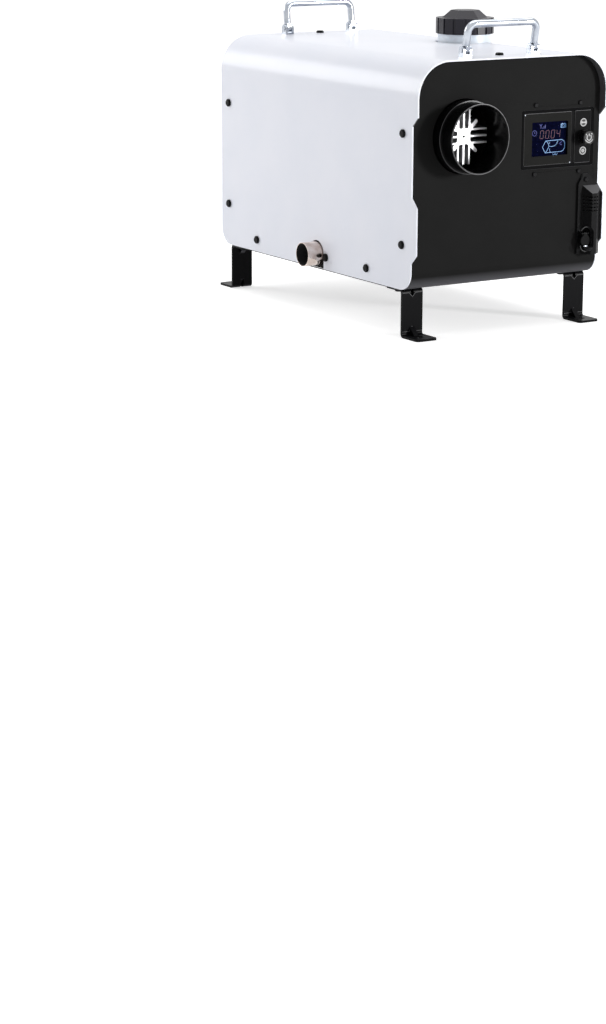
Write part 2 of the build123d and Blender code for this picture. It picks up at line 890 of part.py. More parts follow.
def fin_root(offset):
    """Where a fin leaves the diagonal or the body."""
    return max(abs(offset), sqrt(max(body_r**2 - offset**2, 0)) - 1)


star_offsets = (-fin_pitch, 0, fin_pitch)
body_offsets = [fin_pitch * k for k in range(-4, 5)]
with BuildPart() as exchanger_body:
    extrude(core_disc(exchanger_rear_y, body_r), amount=exchanger_rear_y - body_front_y)
    fillet(exchanger_body.edges().filter_by(GeomType.CIRCLE).group_by(Axis.Y)[0], body_r / 3)

with BuildPart() as heat_exchanger:
    extrude(fins(body_front_y, star_offsets, lambda offset: 1, star_fin_reach), amount=star_depth)
    extrude(arms(body_front_y, arm_reach), amount=star_depth)
    add(exchanger_body.part)
    extrude(fins(exchanger_rear_y, body_offsets, fin_root, fin_reach), exchanger_rear_y - body_front_y - 6)
    # rear flange, foot and exhaust port
    extrude(core_section(exchanger_rear_y, core_wall + 2.5), amount=6)
    with Locations(at(core_x, foot_front_y, core_bottom_h)):
        Box(
            foot_width,
            exchanger_rear_y - foot_front_y,
            core_height / 2 - body_r + 4,
            align=(Align.CENTER, Align.MIN, Align.MIN),
        )
    with BuildSketch(level(core_bottom_h)):
        with Locations((core_x, exhaust_y)):
            Circle(port_r)
    extrude(amount=-port_length)
    with BuildSketch(level(core_h)):
        with Locations((core_x, exhaust_y)):
            Circle(port_bore_r)
    extrude(amount=-core_height, mode=Mode.SUBTRACT)
    extrude(
        core_disc(exchanger_rear_y, cavity_r),
        amount=exchanger_rear_y - body_front_y - 10,
        mode=Mode.SUBTRACT,
    )
    with BuildSketch(level(core_h + body_r)):
        with Locations((core_x, glow_y)):
            Circle(2 * glow_body_r)
    extrude(amount=core_height, mode=Mode.SUBTRACT)
    with BuildSketch(level(core_h)):
        with Locations((core_x, glow_y)):
            Circle(glow_plug_r + hole_clearance)
    extrude(amount=core_height, mode=Mode.SUBTRACT)
save("heat_exchanger", heat_exchanger)

with BuildPart() as burner:
    extrude(core_disc(blower_front_y, cavity_r + 10, flame_tube_r - 8), amount=burner_flange)
    extrude(
        core_disc(exchanger_rear_y, flame_tube_r, flame_tube_r - flame_tube_wall),
        amount=exchanger_rear_y - body_front_y - 30,
    )
    # air holes round the flame tube, and the way in for the glow plug
    with Locations(face_plane(exchanger_rear_y - 2 * glow_setback)):
        with Locations((core_x, core_h)):
            with PolarLocations(flame_tube_r - 1, 8, start_angle=22.5):
                Cylinder(flame_hole_r, 8, rotation=(0, 90, 0), mode=Mode.SUBTRACT)
    with BuildSketch(level(core_h)):
        with Locations((core_x, glow_y)):
            Circle(glow_plug_r + hole_clearance)
    extrude(amount=core_height / 2, mode=Mode.SUBTRACT)
save("burner", burner)

with BuildPart() as glow_plug:
    with BuildSketch(level(core_h + flame_tube_r - 8)):
        with Locations((core_x, glow_y)):
            Circle(glow_plug_r)
    extrude(amount=body_r - flame_tube_r + 9)
    with BuildSketch(level(core_h + body_r + core_clearance)):
        with Locations((core_x, glow_y)):
            RegularPolygon(glow_body_r, 6)
    extrude(amount=glow_body_height)
    with BuildSketch(level(core_h + body_r + glow_body_height)):
        with Locations((core_x, glow_y)):
            Circle(glow_plug_r)
    extrude(amount=3 * glow_plug_r)
save("glow_plug", glow_plug)

with BuildPart() as blower_housing:
    extrude(core_disc(motor_front_y, blower_r), amount=blower_length)
    with Locations(at(core_x, blower_front_y, core_bottom_h)):
        Box(
            foot_width,
            foot_rear_y - blower_front_y,
            core_height / 2 - 20,
            align=(Align.CENTER, Align.MIN, Align.MIN),
        )
    # burner-air port and fuel nipple, drilled up into the casting
    for place, radius, wall in (((core_x, air_port_y), air_port_r, port_wall), (fuel_port, nipple_r, port_wall)):
        with BuildSketch(level(core_bottom_h)):
            with Locations(place):
                Circle(radius)
        extrude(amount=-port_length)
        with BuildSketch(level(port_bottom_h)):
            with Locations(place):
                Circle(radius - wall)
        extrude(amount=core_height / 2 + port_length - chamber_r / 2, mode=Mode.SUBTRACT)
    extrude(core_disc(motor_front_y, chamber_r), amount=chamber_depth, mode=Mode.SUBTRACT)
    extrude(core_disc(motor_front_y, chamber_r / 3), amount=blower_length, mode=Mode.SUBTRACT)
save("blower_housing", blower_housing)

with BuildPart() as motor:
    extrude(core_disc(motor_rear_y, motor_r), amount=motor_length)
    chamfer(motor.edges().group_by(Axis.Y)[-1], motor_r / 10)
    extrude(core_disc(motor_front_y + motor_flange, chamber_r + 6), amount=motor_flange)
    extrude(
        core_disc(motor_rear_y, rotor_shaft_r + running_gap), amount=motor_length, mode=Mode.SUBTRACT
    )
save("motor", motor)

wheel_y = motor_front_y - (chamber_depth - burner_wheel_width) / 2  # rear of the burner-air wheel
shaft_end_y = fan_y + impeller_width / 2
with BuildPart() as rotor_shaft:
    extrude(core_disc(shaft_end_y, rotor_shaft_r), shaft_end_y - wheel_y + burner_wheel_width + 1)
save("rotor_shaft", rotor_shaft)

with BuildPart() as burner_wheel:
    extrude(core_disc(wheel_y, burner_wheel_r), amount=2)
    extrude(core_disc(wheel_y, burner_wheel_hub_r), amount=burner_wheel_width)
    with Locations(face_plane(wheel_y)):
        with Locations((core_x, core_h)):
            with PolarLocations(burner_wheel_hub_r - 1, burner_wheel_vanes):
                Box(
                    burner_wheel_r - burner_wheel_hub_r + 0.5,
                    vane_thickness,
                    burner_wheel_width - 1,
                    align=(Align.MIN, Align.CENTER, Align.MIN),
                )
    extrude(core_disc(wheel_y, rotor_shaft_r), amount=burner_wheel_width, mode=Mode.SUBTRACT)
save("burner_wheel", burner_wheel)

with BuildPart() as air_impeller:
    extrude(core_disc(fan_y + impeller_width / 2, impeller_hub_r), amount=impeller_width)
    fillet(air_impeller.edges().group_by(Axis.Y)[-1], 5)
    with Locations(face_plane(fan_y)):
        with Locations((core_x, core_h)):
            with PolarLocations((impeller_hub_r + impeller_r) / 2 - 1, impeller_blades):
                Box(
                    impeller_r - impeller_hub_r + 1,
                    blade_thickness,
                    1.1 * impeller_width,
                    rotation=(blade_tilt, 0, 0),
                )
    extrude(core_disc(fan_y + impeller_width, impeller_r), 2 * impeller_width, mode=Mode.INTERSECT)
    extrude(core_disc(fan_y + impeller_width, rotor_shaft_r), 2 * impeller_width, mode=Mode.SUBTRACT)
save("air_impeller", air_impeller)

with BuildPart() as control_unit:
    with Locations(at(core_x, motor_rear_y - 2, core_h + core_height / 2 - core_wall - core_clearance)):
        Box(
            control_unit_width,
            motor_length - motor_flange - 6,
            control_unit_height,
            align=(Align.CENTER, Align.MAX, Align.MAX),
        )
    fillet(control_unit.edges().filter_by(Axis.Z), 3)
save("control_unit", control_unit)

sensor_place = (core_x, (body_front_y + exhaust_y) / 2)
with BuildPart() as overheat_sensor:
    with BuildSketch(level(core_h + fin_reach)):
        with Locations(sensor_place):
            Rectangle(2 * fin_pitch + fin_thickness, 20)
    extrude(amount=2)
    with BuildSketch(level(core_h + fin_reach)):
        with Locations(sensor_place):
            Circle(4)
    extrude(amount=6)
save("overheat_sensor", overheat_sensor)

base_holes = [
    ((core_x, exhaust_y), port_r + hole_clearance),
    ((core_x, air_port_y), air_port_r + hole_clearance),
    (fuel_port, nipple_r + hole_clearance),
]
with BuildPart() as base_gasket:
    with Locations(at(core_x, (foot_front_y + foot_rear_y) / 2, shelf_top_h)):
        Box(
            foot_width + 2 * gasket_margin,
            foot_rear_y - foot_front_y + gasket_margin,
            gasket_thickness,
            align=(Align.CENTER, Align.CENTER, Align.MIN),
        )
    for place, radius in base_holes:
        extrude(circles(level(shelf_top_h), [place], radius), 9, both=True, mode=Mode.SUBTRACT)
save("base_gasket", base_gasket)

shelf_leg_h = chassis_sheet + shelf_sheet / 2
with BuildPart() as heater_shelf:
    with BuildSketch(side_plane(core_x)):
        with BuildLine():
            FilletPolyline(
                (shelf_front_y - shelf_foot, shelf_leg_h),
                (shelf_front_y, shelf_leg_h),
                (shelf_front_y, shelf_top_h - shelf_sheet / 2),
                (shelf_rear_y, shelf_top_h - shelf_sheet / 2),
                (shelf_rear_y, shelf_leg_h),
                (shelf_rear_y + shelf_foot, shelf_leg_h),
                radius=2.5,
            )
        trace(line_width=shelf_sheet)
    extrude(amount=shelf_half, both=True)
    for place, radius in base_holes:
        extrude(circles(level(shelf_top_h), [place], radius), 9, both=True, mode=Mode.SUBTRACT)
    extrude(circles(level(0), shelf_bolts, leg_bolt_r + screw_clearance), 9, both=True, mode=Mode.SUBTRACT)
    # windows in both legs
    with BuildSketch(face_plane(shelf_rear_y + 9)):
        with Locations((core_x, shelf_top_h / 2)):
            RectangleRounded(1.2 * shelf_half, shelf_top_h - 20, 6)
    extrude(amount=shelf_rear_y - shelf_front_y + 18, mode=Mode.SUBTRACT)
save("heater_shelf", heater_shelf)

with BuildPart() as shelf_screws:
    with Locations(*[seat(x, y, chassis_sheet + shelf_sheet, (0, 0, 1)) for x, y in shelf_bolts]):
        add(button_screw(1.8 * leg_bolt_r, leg_bolt_r, leg_bolt_r, chassis_sheet + shelf_sheet + 2))
save("shelf_screws", shelf_screws)

# ---------------------------------------------------------------- exhaust and burner air
with BuildPart() as exhaust_pipe:
    add(
        bent_tube(
            [
                at(core_x, exhaust_y, exhaust_top_h),
                at(core_x, exhaust_y, exhaust_h),
                at(left_x - exhaust_reach, exhaust_y, exhaust_h),
            ],
            exhaust_r,
            exhaust_r - exhaust_wall,
            exhaust_bend,
        )
    )
    # stop bead
    with BuildSketch(side_plane(left_x + 3 * cover_skin)):
        with Locations((exhaust_y, exhaust_h)):
            Circle(exhaust_r + exhaust_bead)
            Circle(exhaust_r - exhaust_wall, mode=Mode.SUBTRACT)
    extrude(amount=exhaust_bead_width)
save("exhaust_pipe", exhaust_pipe)

with BuildPart() as exhaust_clamp:
    with BuildSketch(level(exhaust_top_h - clamp_width - 2)):
        with Locations((core_x, exhaust_y)):
            Circle(exhaust_r + hose_gap + clamp_band)
            with Locations((exhaust_r, 0)):
                Rectangle(clamp_width, 0.8 * clamp_width, align=(Align.MIN, Align.CENTER))
            Circle(exhaust_r + hose_gap, mode=Mode.SUBTRACT)
    extrude(amount=clamp_width)
save("exhaust_clamp", exhaust_clamp)

silencer_y = shelf_rear_y + shelf_foot + 8
with BuildPart() as burner_air_pipe:
    add(
        bent_tube(
            [
                at(core_x, air_port_y, exhaust_top_h),
                at(core_x, air_port_y, silencer_h),
                at(core_x, silencer_y, silencer_h),
            ],
            air_pipe_r,
            air_port_r + port_clearance,
            1.8 * air_pipe_r,
        )
    )
save("burner_air_pipe", burner_air_pipe)

with BuildPart() as burner_air_silencer:
    with BuildSketch(face_plane(silencer_y)):
        with Locations((core_x, silencer_h)):
            Circle(silencer_r)
    extrude(amount=-silencer_length)
    chamfer(burner_air_silencer.edges().filter_by(GeomType.CIRCLE), 2.5)
    with BuildSketch(face_plane(silencer_y)):
        with Locations((core_x, silencer_h)):
            Circle(air_port_r)
    extrude(amount=-silencer_length, mode=Mode.SUBTRACT)
    for foot_y in (silencer_y + 10, silencer_y + silencer_length - 14):
        with BuildSketch(face_plane(foot_y)):
            with Locations((core_x, chassis_sheet)):
                Rectangle(silencer_r, silencer_h - air_port_r - 4 - chassis_sheet, align=(Align.CENTER, Align.MIN))
        extrude(amount=-5)
save("burner_air_silencer", burner_air_silencer)

with BuildPart() as intake_grille:
    extrude(core_disc(rear_y + grille_sheet, grille_r, grille_hole_r - grille_bar), amount=grille_sheet)
    ring_r = grille_hole_r - grille_ring_pitch
    while ring_r > grille_ring_pitch / 2:
        extrude(core_disc(rear_y + grille_sheet, ring_r, ring_r - grille_bar), amount=grille_sheet)
        ring_r -= grille_ring_pitch
    with BuildSketch(face_plane(rear_y + grille_sheet)):
        with Locations((core_x, core_h)):
            with PolarLocations(0, 4, start_angle=45):
                with Locations((grille_ring_pitch / 2, 0)):
                    Rectangle(grille_hole_r - grille_ring_pitch / 2, 1.5 * grille_bar, align=(Align.MIN, Align.CENTER))
    extrude(amount=grille_sheet)
    extrude(
        circles(face_plane(rear_y), grille_screws, panel_screw_r + screw_clearance),
        9,
        both=True,
        mode=Mode.SUBTRACT,
    )
save("intake_grille", intake_grille)

small_screw = button_screw(panel_screw_head_r, panel_screw_head_h, panel_screw_r, panel_screw_length)
with BuildPart() as grille_screws_set:
    with Locations(*[seat(x, rear_y + grille_sheet, h, (0, 1, 0)) for x, h in grille_screws]):
        add(small_screw)
save("grille_screws", grille_screws_set)

# ---------------------------------------------------------------- fuel tank, cap and fuel line
def tank_block(inset):
    """The tank's rounded block, set in from its outside."""
    with BuildPart() as block:
        with Locations(at(tank_x, (tank_front_y + tank_rear_y) / 2, (tank_bottom_h + tank_top_h) / 2)):
            Box(
                tank_width - 2 * inset,
                tank_length - 2 * inset,
                tank_top_h - tank_bottom_h - 2 * inset,
            )
        fillet(block.edges(), tank_corner_r - inset)
    return block.part


with BuildPart() as fuel_tank:
    add(tank_block(0))
    add(tank_block(tank_wall), mode=Mode.SUBTRACT)
    for radius, low_h, high_h, mode in (
        (neck_r, tank_top_h - tank_wall, neck_top_h, Mode.ADD),
        (thread_r, neck_top_h, neck_top_h + thread_height, Mode.ADD),
        (mouth_r, tank_top_h - 2 * tank_wall, neck_top_h + thread_height, Mode.SUBTRACT),
    ):
        with BuildSketch(level(low_h)):
            with Locations((neck_x, neck_y)):
                Circle(radius)
        extrude(amount=high_h - low_h, mode=mode)
    with BuildSketch(face_plane(tank_rear_y - tank_wall)):
        with Locations((filter_x, fuel_h)):
            Circle(nipple_r)
    extrude(amount=-tank_wall - nipple_length)
save("fuel_tank", fuel_tank)

strap_x = tank_width / 2 + tank_seat_gap + strap_sheet / 2
strap_top_h = tank_top_h + tank_seat_gap + strap_sheet / 2
with BuildPart() as tank_strap:
    with BuildSketch(face_plane(tank_front_y + strap_setback)):
        with BuildLine():
            FilletPolyline(
                (tank_x - strap_x - strap_foot, chassis_sheet + strap_sheet / 2),
                (tank_x - strap_x, chassis_sheet + strap_sheet / 2),
                (tank_x - strap_x, strap_top_h),
                (tank_x + strap_x, strap_top_h),
                (tank_x + strap_x, chassis_sheet),
                radius=(2, tank_corner_r, tank_corner_r),
            )
        trace(line_width=strap_sheet)
    extrude(amount=strap_width / 2, both=True)
save("tank_strap", tank_strap)

rib_width = cap_rib_share * 2 * pi * cap_r / cap_ribs
with BuildPart() as fuel_cap:
    with BuildSketch(level(cap_bottom_h)):
        with Locations((neck_x, neck_y)):
            Circle(cap_r - 0.9)
            with PolarLocations(cap_r - rib_width / 2, cap_ribs):
                Rectangle(rib_width, rib_width)
    extrude(amount=cap_ring_height)
    with BuildSketch(level(cap_ring_top_h)):
        with Locations((neck_x, neck_y)):
            RegularPolygon(cap_grip_share[0] * cap_r, 6, rotation=cap_grip_turn)
    with BuildSketch(level(cap_ring_top_h + cap_top_height)):
        with Locations((neck_x, neck_y)):
            RegularPolygon(cap_grip_share[1] * cap_r, 6, rotation=cap_grip_turn)
    loft()
    with BuildSketch(level(cap_bottom_h)):
        with Locations((neck_x, neck_y)):
            Circle(thread_r + cap_thread_clearance)
    extrude(amount=liner_bottom_h + liner_thickness + cap_gap - cap_bottom_h, mode=Mode.SUBTRACT)
save("fuel_cap", fuel_cap)

with BuildPart() as cap_liner:
    with BuildSketch(level(liner_bottom_h)):
        with Locations((neck_x, neck_y)):
            Circle(thread_r)
    extrude(amount=liner_thickness)
save("cap_liner", cap_liner)


def fuel_tip(x, y, length):
    """Hose nipple of the row behind the tank, from this y towards the rear."""
    with BuildSketch(face_plane(y)) as tip:
        with Locations((x, fuel_h)):
            Circle(nipple_r)
    return extrude(tip.sketch, amount=-length)


filter_y = tank_rear_y + nipple_length + 11
pump_y = tank_rear_y + 26
with BuildPart() as fuel_filter:
    with BuildSketch(face_plane(filter_y)):
        with Locations((filter_x, fuel_h)):
            Circle(filter_r)
    extrude(amount=-filter_length)
    chamfer(fuel_filter.edges().filter_by(GeomType.CIRCLE), 3)
    add(fuel_tip(filter_x, filter_y - nipple_length, filter_length + 2 * nipple_length))
save("fuel_filter", fuel_filter)

with BuildPart() as fuel_pump:
    with BuildSketch(face_plane(pump_y)):
        with Locations((pump_x, fuel_h)):
            Circle(pump_r)
    extrude(amount=-pump_length)
    chamfer(fuel_pump.edges().filter_by(GeomType.CIRCLE), 2)
    add(fuel_tip(pump_x, pump_y - nipple_length, pump_length + 2 * nipple_length))
save("fuel_pump", fuel_pump)

with BuildPart() as pump_mount:
    with BuildSketch(face_plane(pump_y + pump_length / 2 - 10)):
        with Locations((pump_x, fuel_h)):
            Circle(pump_r + pump_band)
            Rectangle(pump_r, fuel_h - chassis_sheet, align=(Align.CENTER, Align.MAX))
            Circle(pump_r + hose_gap, mode=Mode.SUBTRACT)
    extrude(amount=-20)
save("pump_mount", pump_mount)

with BuildPart() as tank_hose:
    with BuildSketch(face_plane(tank_rear_y + 1)):
        with Locations((filter_x, fuel_h)):
            Circle(hose_r)
            Circle(hose_bore_r, mode=Mode.SUBTRACT)
    extrude(amount=-(filter_y - tank_rear_y - 2))
save("tank_hose", tank_hose)

suction_y = filter_y + filter_length + 1
turn_y = pump_y + pump_length + 24
with BuildPart() as suction_hose:
    add(
        bent_tube(
            [
                at(filter_x, suction_y, fuel_h),
                at(filter_x, turn_y, fuel_h),
                at(pump_x, turn_y, fuel_h),
                at(pump_x, pump_y + pump_length + 1, fuel_h),
            ],
            hose_r,
            hose_bore_r,
            hose_bend,
        )
    )
save("suction_hose", suction_hose)

with BuildPart() as pressure_hose:
    add(
        bent_tube(
            [
                at(pump_x, pump_y - 1, fuel_h),
                at(pump_x, tank_rear_y + 8, fuel_h),
                at(fuel_port[0], tank_rear_y + 8, fuel_h),
                at(fuel_port[0], fuel_port[1], fuel_h),
                at(fuel_port[0], fuel_port[1], exhaust_top_h - 3),
            ],
            hose_r,
            hose_bore_r,
            [8, 9, 9],
        )
    )
save("pressure_hose", pressure_hose)

# ---------------------------------------------------------------- controller
face_y = front_y + panel_recess
board_y = face_y + board_setback  # front of the board
with BuildPart() as controller_bezel:
    with BuildSketch(face_plane(face_y + panel_depth)):
        with Locations((panel_x, panel_h)):
            RectangleRounded(panel_width, panel_height, panel_corner_r)
    extrude(amount=panel_depth)
    with BuildSketch(face_plane(front_y + chassis_sheet + bezel_flange_sheet)):
        with Locations((panel_x, panel_h)):
            Rectangle(panel_width + 2 * bezel_side_margin, panel_height + 2 * bezel_end_margin)
    extrude(amount=bezel_flange_sheet)
    with BuildSketch(face_plane(face_y + panel_depth)):
        with Locations((panel_x, panel_h)):
            Rectangle(panel_width - 2 * bezel_wall, panel_height - 2 * bezel_wall)
    extrude(amount=panel_depth - bezel_front, mode=Mode.SUBTRACT)
    with BuildSketch(face_plane(face_y)):
        with Locations((window_x, window_h)):
            Rectangle(*window_size)
        with Locations((control_x, panel_h)):
            Circle(shaft_r + 0.3)
        with Locations((control_x, panel_h - button_offset), (control_x, panel_h + button_offset)):
            Circle(button_r + button_clearance)
    extrude(amount=2 * bezel_front, both=True, mode=Mode.SUBTRACT)
    # groove that parts the window from the controls
    with BuildSketch(face_plane(face_y)):
        with Locations((divider_x, panel_h)):
            Rectangle(1.2, panel_height - 4)
    extrude(amount=-0.8, mode=Mode.SUBTRACT)
    extrude(
        circles(face_plane(front_y), panel_screws, panel_screw_r + 0.1), 9, both=True, mode=Mode.SUBTRACT
    )
save("controller_bezel", controller_bezel)

with BuildPart() as controller_window:
    with BuildSketch(face_plane(face_y + 0.3 + lens_thickness)):
        with Locations((window_x, window_h)):
            Rectangle(window_size[0] - 0.3, window_size[1] - 0.3)
    extrude(amount=lens_thickness)
save("controller_window", controller_window)

display_y = face_y + bezel_front + 0.2
with BuildPart() as controller_display:
    with BuildSketch(face_plane(display_y + display_thickness)):
        with Locations((window_x, window_h)):
            Rectangle(window_size[0] + 2 * display_margin, window_size[1] + 2 * display_margin)
    extrude(amount=display_thickness)
save("controller_display", controller_display)

encoder_front_y = face_y + 8
with BuildPart() as controller_board:
    with BuildSketch(face_plane(board_y + board_thickness)):
        with Locations((panel_x, panel_h)):
            Rectangle(panel_width - 2 * bezel_wall - 0.6, panel_height - 2 * bezel_wall - 0.6)
    extrude(amount=board_thickness)
    # pillars behind the display, the two switches and the encoder
    with BuildSketch(face_plane(board_y)):
        with Locations((window_x, window_h)):
            with GridLocations(*window_size, 2, 2):
                Circle(2)
    extrude(amount=board_y - display_y - display_thickness - 0.1)
    with BuildSketch(face_plane(board_y)):
        with Locations((control_x, panel_h - button_offset), (control_x, panel_h + button_offset)):
            Rectangle(6, 6)
    extrude(amount=4)
    with BuildSketch(face_plane(board_y)):
        with Locations((control_x, panel_h)):
            Rectangle(12, 12)
            Circle(shaft_r + running_gap, mode=Mode.SUBTRACT)
    extrude(amount=board_y - encoder_front_y)
save("controller_board", controller_board)

stem_end_y = board_y - 4 - button_travel - 0.4
for name, side in (("button_upper", 1), ("button_lower", -1)):
    with BuildPart() as button:
        for start_y, end_y, radius in (
            (face_y - button_proud, display_y, button_r),
            (display_y, display_y + 1.4, button_r + 1.4),
            (display_y + 1.4, stem_end_y, 1.6),
        ):
            with BuildSketch(face_plane(end_y)):
                with Locations((control_x, panel_h + side * button_offset)):
                    Circle(radius)
            extrude(amount=end_y - start_y)
        chamfer(button.edges().group_by(Axis.Y)[0], 0.4)
    save(name, button)

knob_shaft_y = board_y - 2.3  # inner end of the knob's shaft
knob_rear_y = face_y - knob_travel - 0.3
knob_front_y = front_y - knob_reach
with BuildPart() as encoder_plunger:
    with BuildSketch(face_plane(knob_shaft_y + 1.5)):
        with Locations((control_x, panel_h)):
            Circle(shaft_r - 0.2)
    extrude(amount=1.2)
save("encoder_plunger", encoder_plunger)

with BuildPart() as knob_shaft:
    with BuildSketch(face_plane(knob_shaft_y)):
        with Locations((control_x, panel_h)):
            Circle(shaft_r)
    extrude(amount=knob_shaft_y - knob_front_y - 2.5)
save("knob_shaft", knob_shaft)

with BuildPart() as power_knob:
    with BuildSketch(face_plane(knob_rear_y)):
        with Locations((control_x, panel_h)):
            Circle(knob_r)
    extrude(amount=knob_rear_y - knob_front_y)
    chamfer(power_knob.edges().group_by(Axis.Y)[0], knob_chamfer)
    with BuildSketch(face_plane(knob_rear_y)):
        with Locations((control_x, panel_h)):
            Circle(shaft_r)
    extrude(amount=knob_rear_y - knob_front_y - 2.5, mode=Mode.SUBTRACT)
save("power_knob", power_knob)


# ---------------------------------------------------------------- socket housing
def inlet_block(inset, low_h, high_h):
    """Faceted housing with a sloped top, its sides set in from its outside."""
    front = front_y - inlet_depth
    with BuildPart() as block:
        with BuildSketch(level(low_h)):
            with BuildLine():
                Polyline(
                    (inlet_left, front_y),
                    (inlet_face[0], front),
                    (inlet_face[1], front),
                    (inlet_right, front_y - inlet_right_depth),
                    (inlet_right, front_y),
                    close=True,
                )
            make_face()
            if inset:
                offset(amount=-inset, kind=Kind.INTERSECTION)
        extrude(amount=high_h - low_h)
        with BuildSketch(side_plane(inlet_right)):
            with BuildLine():
                Polyline(
                    (front_y, high_h),
                    (front, high_h - inlet_slope),
                    (front - 1, high_h - inlet_slope),
                    (front - 1, high_h + 1),
                    (front_y, high_h + 1),
                    close=True,
                )
            make_face()
        extrude(amount=2 * (inlet_right - inlet_left), both=True, mode=Mode.SUBTRACT)
    return block.part


vent_grid = (vent_pitch, vent_pitch, vent_columns, vent_rows)
with BuildPart() as socket_housing:
    add(inlet_block(0, inlet_bottom_h, inlet_top_h))
    # base plate, with the lug and its screw hole above
    with BuildSketch(face_plane(front_y)):
        with BuildLine():
            Polyline(
                (inlet_left - inlet_rim, inlet_bottom_h),
                (inlet_left - inlet_rim, inlet_top_h),
                (lug_x - lug_tip, inlet_top_h + lug_height),
                (lug_x + lug_tip, inlet_top_h + lug_height),
                (inlet_right, inlet_top_h),
                (inlet_right, inlet_bottom_h),
                close=True,
            )
        make_face()
    extrude(amount=lug_sheet)
    extrude(
        circles(face_plane(front_y), [lug_screw], panel_screw_r + 0.1), 9, both=True, mode=Mode.SUBTRACT
    )
    # hollow behind the vents of the front and of the left side
    add(inlet_block(inlet_wall, pocket_top_h + 4, inlet_top_h - 1.2 * inlet_wall), mode=Mode.SUBTRACT)
    with BuildSketch(face_plane(front_y - inlet_depth / 2)):
        with Locations((inlet_face[0] + vent_pitch, vent_h)):
            with GridLocations(*vent_grid):
                Rectangle(*vent_size)
    extrude(amount=inlet_depth, mode=Mode.SUBTRACT)
    with BuildSketch(side_plane(inlet_face[0])):
        with Locations((front_y - (inlet_depth + lug_sheet) / 2, vent_h)):
            with GridLocations(*vent_grid):
                Rectangle(*vent_size)
    extrude(amount=inlet_left - inlet_face[0] - inlet_rim, mode=Mode.SUBTRACT)
    # pocket round the socket
    with BuildSketch(face_plane(front_y - pocket_floor)):
        with Locations((pocket_x, (pocket_top_h + pocket_bottom_h) / 2)):
            SlotOverall(pocket_top_h - pocket_bottom_h, 2 * pocket_r, rotation=90)
    extrude(amount=inlet_depth, mode=Mode.SUBTRACT)
save("socket_housing", socket_housing)

with BuildPart() as front_screws:
    with Locations(*[seat(x, front_y, h, (0, -1, 0)) for x, h in panel_screws]):
        add(small_screw)
    with Locations(seat(lug_screw[0], front_y - lug_sheet, lug_screw[1], (0, -1, 0))):
        add(small_screw)
save("front_screws", front_screws)

lid_r = socket_r + lid_overhang
lid_hinge_h = socket_h + lid_hinge_rise
socket_y = front_y - pocket_floor
hinge_y = socket_y - socket_reach - 0.5
with BuildPart() as socket:
    with BuildSketch(face_plane(socket_y)):
        with Locations((pocket_x, socket_h)):
            Circle(socket_r)
            Circle(socket_bore_r, mode=Mode.SUBTRACT)
            Circle(1)
    extrude(amount=socket_reach)
    with BuildSketch(face_plane(socket_y)):
        with Locations((pocket_x, socket_h)):
            Circle(socket_r)
    extrude(amount=1)
    # ears of the lid's hinge
    for x in (pocket_x - 4, pocket_x + 4):
        with BuildSketch(side_plane(x)):
            with Locations((hinge_y, lid_hinge_h)):
                Circle(1.8)
                Rectangle(socket_y - hinge_y, 3.6, align=(Align.MIN, Align.CENTER))
                Circle(lid_pin_r + 0.03, mode=Mode.SUBTRACT)
            with Locations((socket_y, socket_h + socket_r / 2)):
                Rectangle(1, lid_hinge_h - socket_h, align=(Align.MAX, Align.MIN))
        extrude(amount=0.8, both=True)
save("socket", socket)

with BuildPart() as socket_lid_pin:
    with BuildSketch(side_plane(pocket_x)):
        with Locations((hinge_y, lid_hinge_h)):
            Circle(lid_pin_r)
    extrude(amount=5.2, both=True)
save("socket_lid_pin", socket_lid_pin)

lid_rear_y = socket_y - socket_reach - 0.3
with BuildPart() as socket_lid:
    with BuildSketch(face_plane(lid_rear_y)):
        with Locations((pocket_x, socket_h)):
            Circle(lid_r)
    extrude(amount=lid_thickness)
    chamfer(socket_lid.edges().group_by(Axis.Y)[0], 0.5)
    with BuildSketch(face_plane(lid_rear_y)):
        with Locations((pocket_x, socket_h)):
            Rectangle(5, lid_hinge_h - socket_h, align=(Align.CENTER, Align.MIN))
    extrude(amount=lid_thickness)
    with BuildSketch(side_plane(pocket_x)):
        with Locations((hinge_y, lid_hinge_h)):
            Circle(1.7)
    extrude(amount=2.5, both=True)
    with BuildSketch(side_plane(pocket_x)):
        with Locations((hinge_y, lid_hinge_h)):
            Circle(lid_pin_r + running_gap)
    extrude(amount=5, both=True, mode=Mode.SUBTRACT)
    # finger tab below
    with BuildSketch(face_plane(lid_rear_y)):
        with Locations((pocket_x, socket_h - lid_r + 1)):
            Rectangle(6, 3, align=(Align.CENTER, Align.MAX))
    extrude(amount=lid_thickness + 1.5)
save("socket_lid", socket_lid)
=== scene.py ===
"""Looks of a portable diesel air heater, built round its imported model.

Metres, in the model's own frame: +X is to the right seen from the front, the front faces -Y, +Z is up
and the floor is z = 0. Heights named h are measured from the underside of the enclosure.
"""

import logging
from dataclasses import dataclass, field
from enum import Enum
from math import cos, pi, radians, sin
from typing import Any, Sequence

import bmesh
import bpy
from mathutils import Matrix, Vector


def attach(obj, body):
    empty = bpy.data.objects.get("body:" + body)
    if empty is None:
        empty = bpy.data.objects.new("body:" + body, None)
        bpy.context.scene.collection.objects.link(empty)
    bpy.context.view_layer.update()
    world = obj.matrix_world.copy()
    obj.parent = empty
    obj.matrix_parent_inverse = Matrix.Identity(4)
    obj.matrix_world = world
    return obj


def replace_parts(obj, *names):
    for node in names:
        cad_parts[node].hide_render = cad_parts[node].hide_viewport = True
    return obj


Node = bpy.types.Node
Socket = bpy.types.NodeSocket
Feeds = dict[str | int, Any]
Pair = tuple[float, float]
Triple = tuple[float, float, float]
Ring = list[bmesh.types.BMVert]

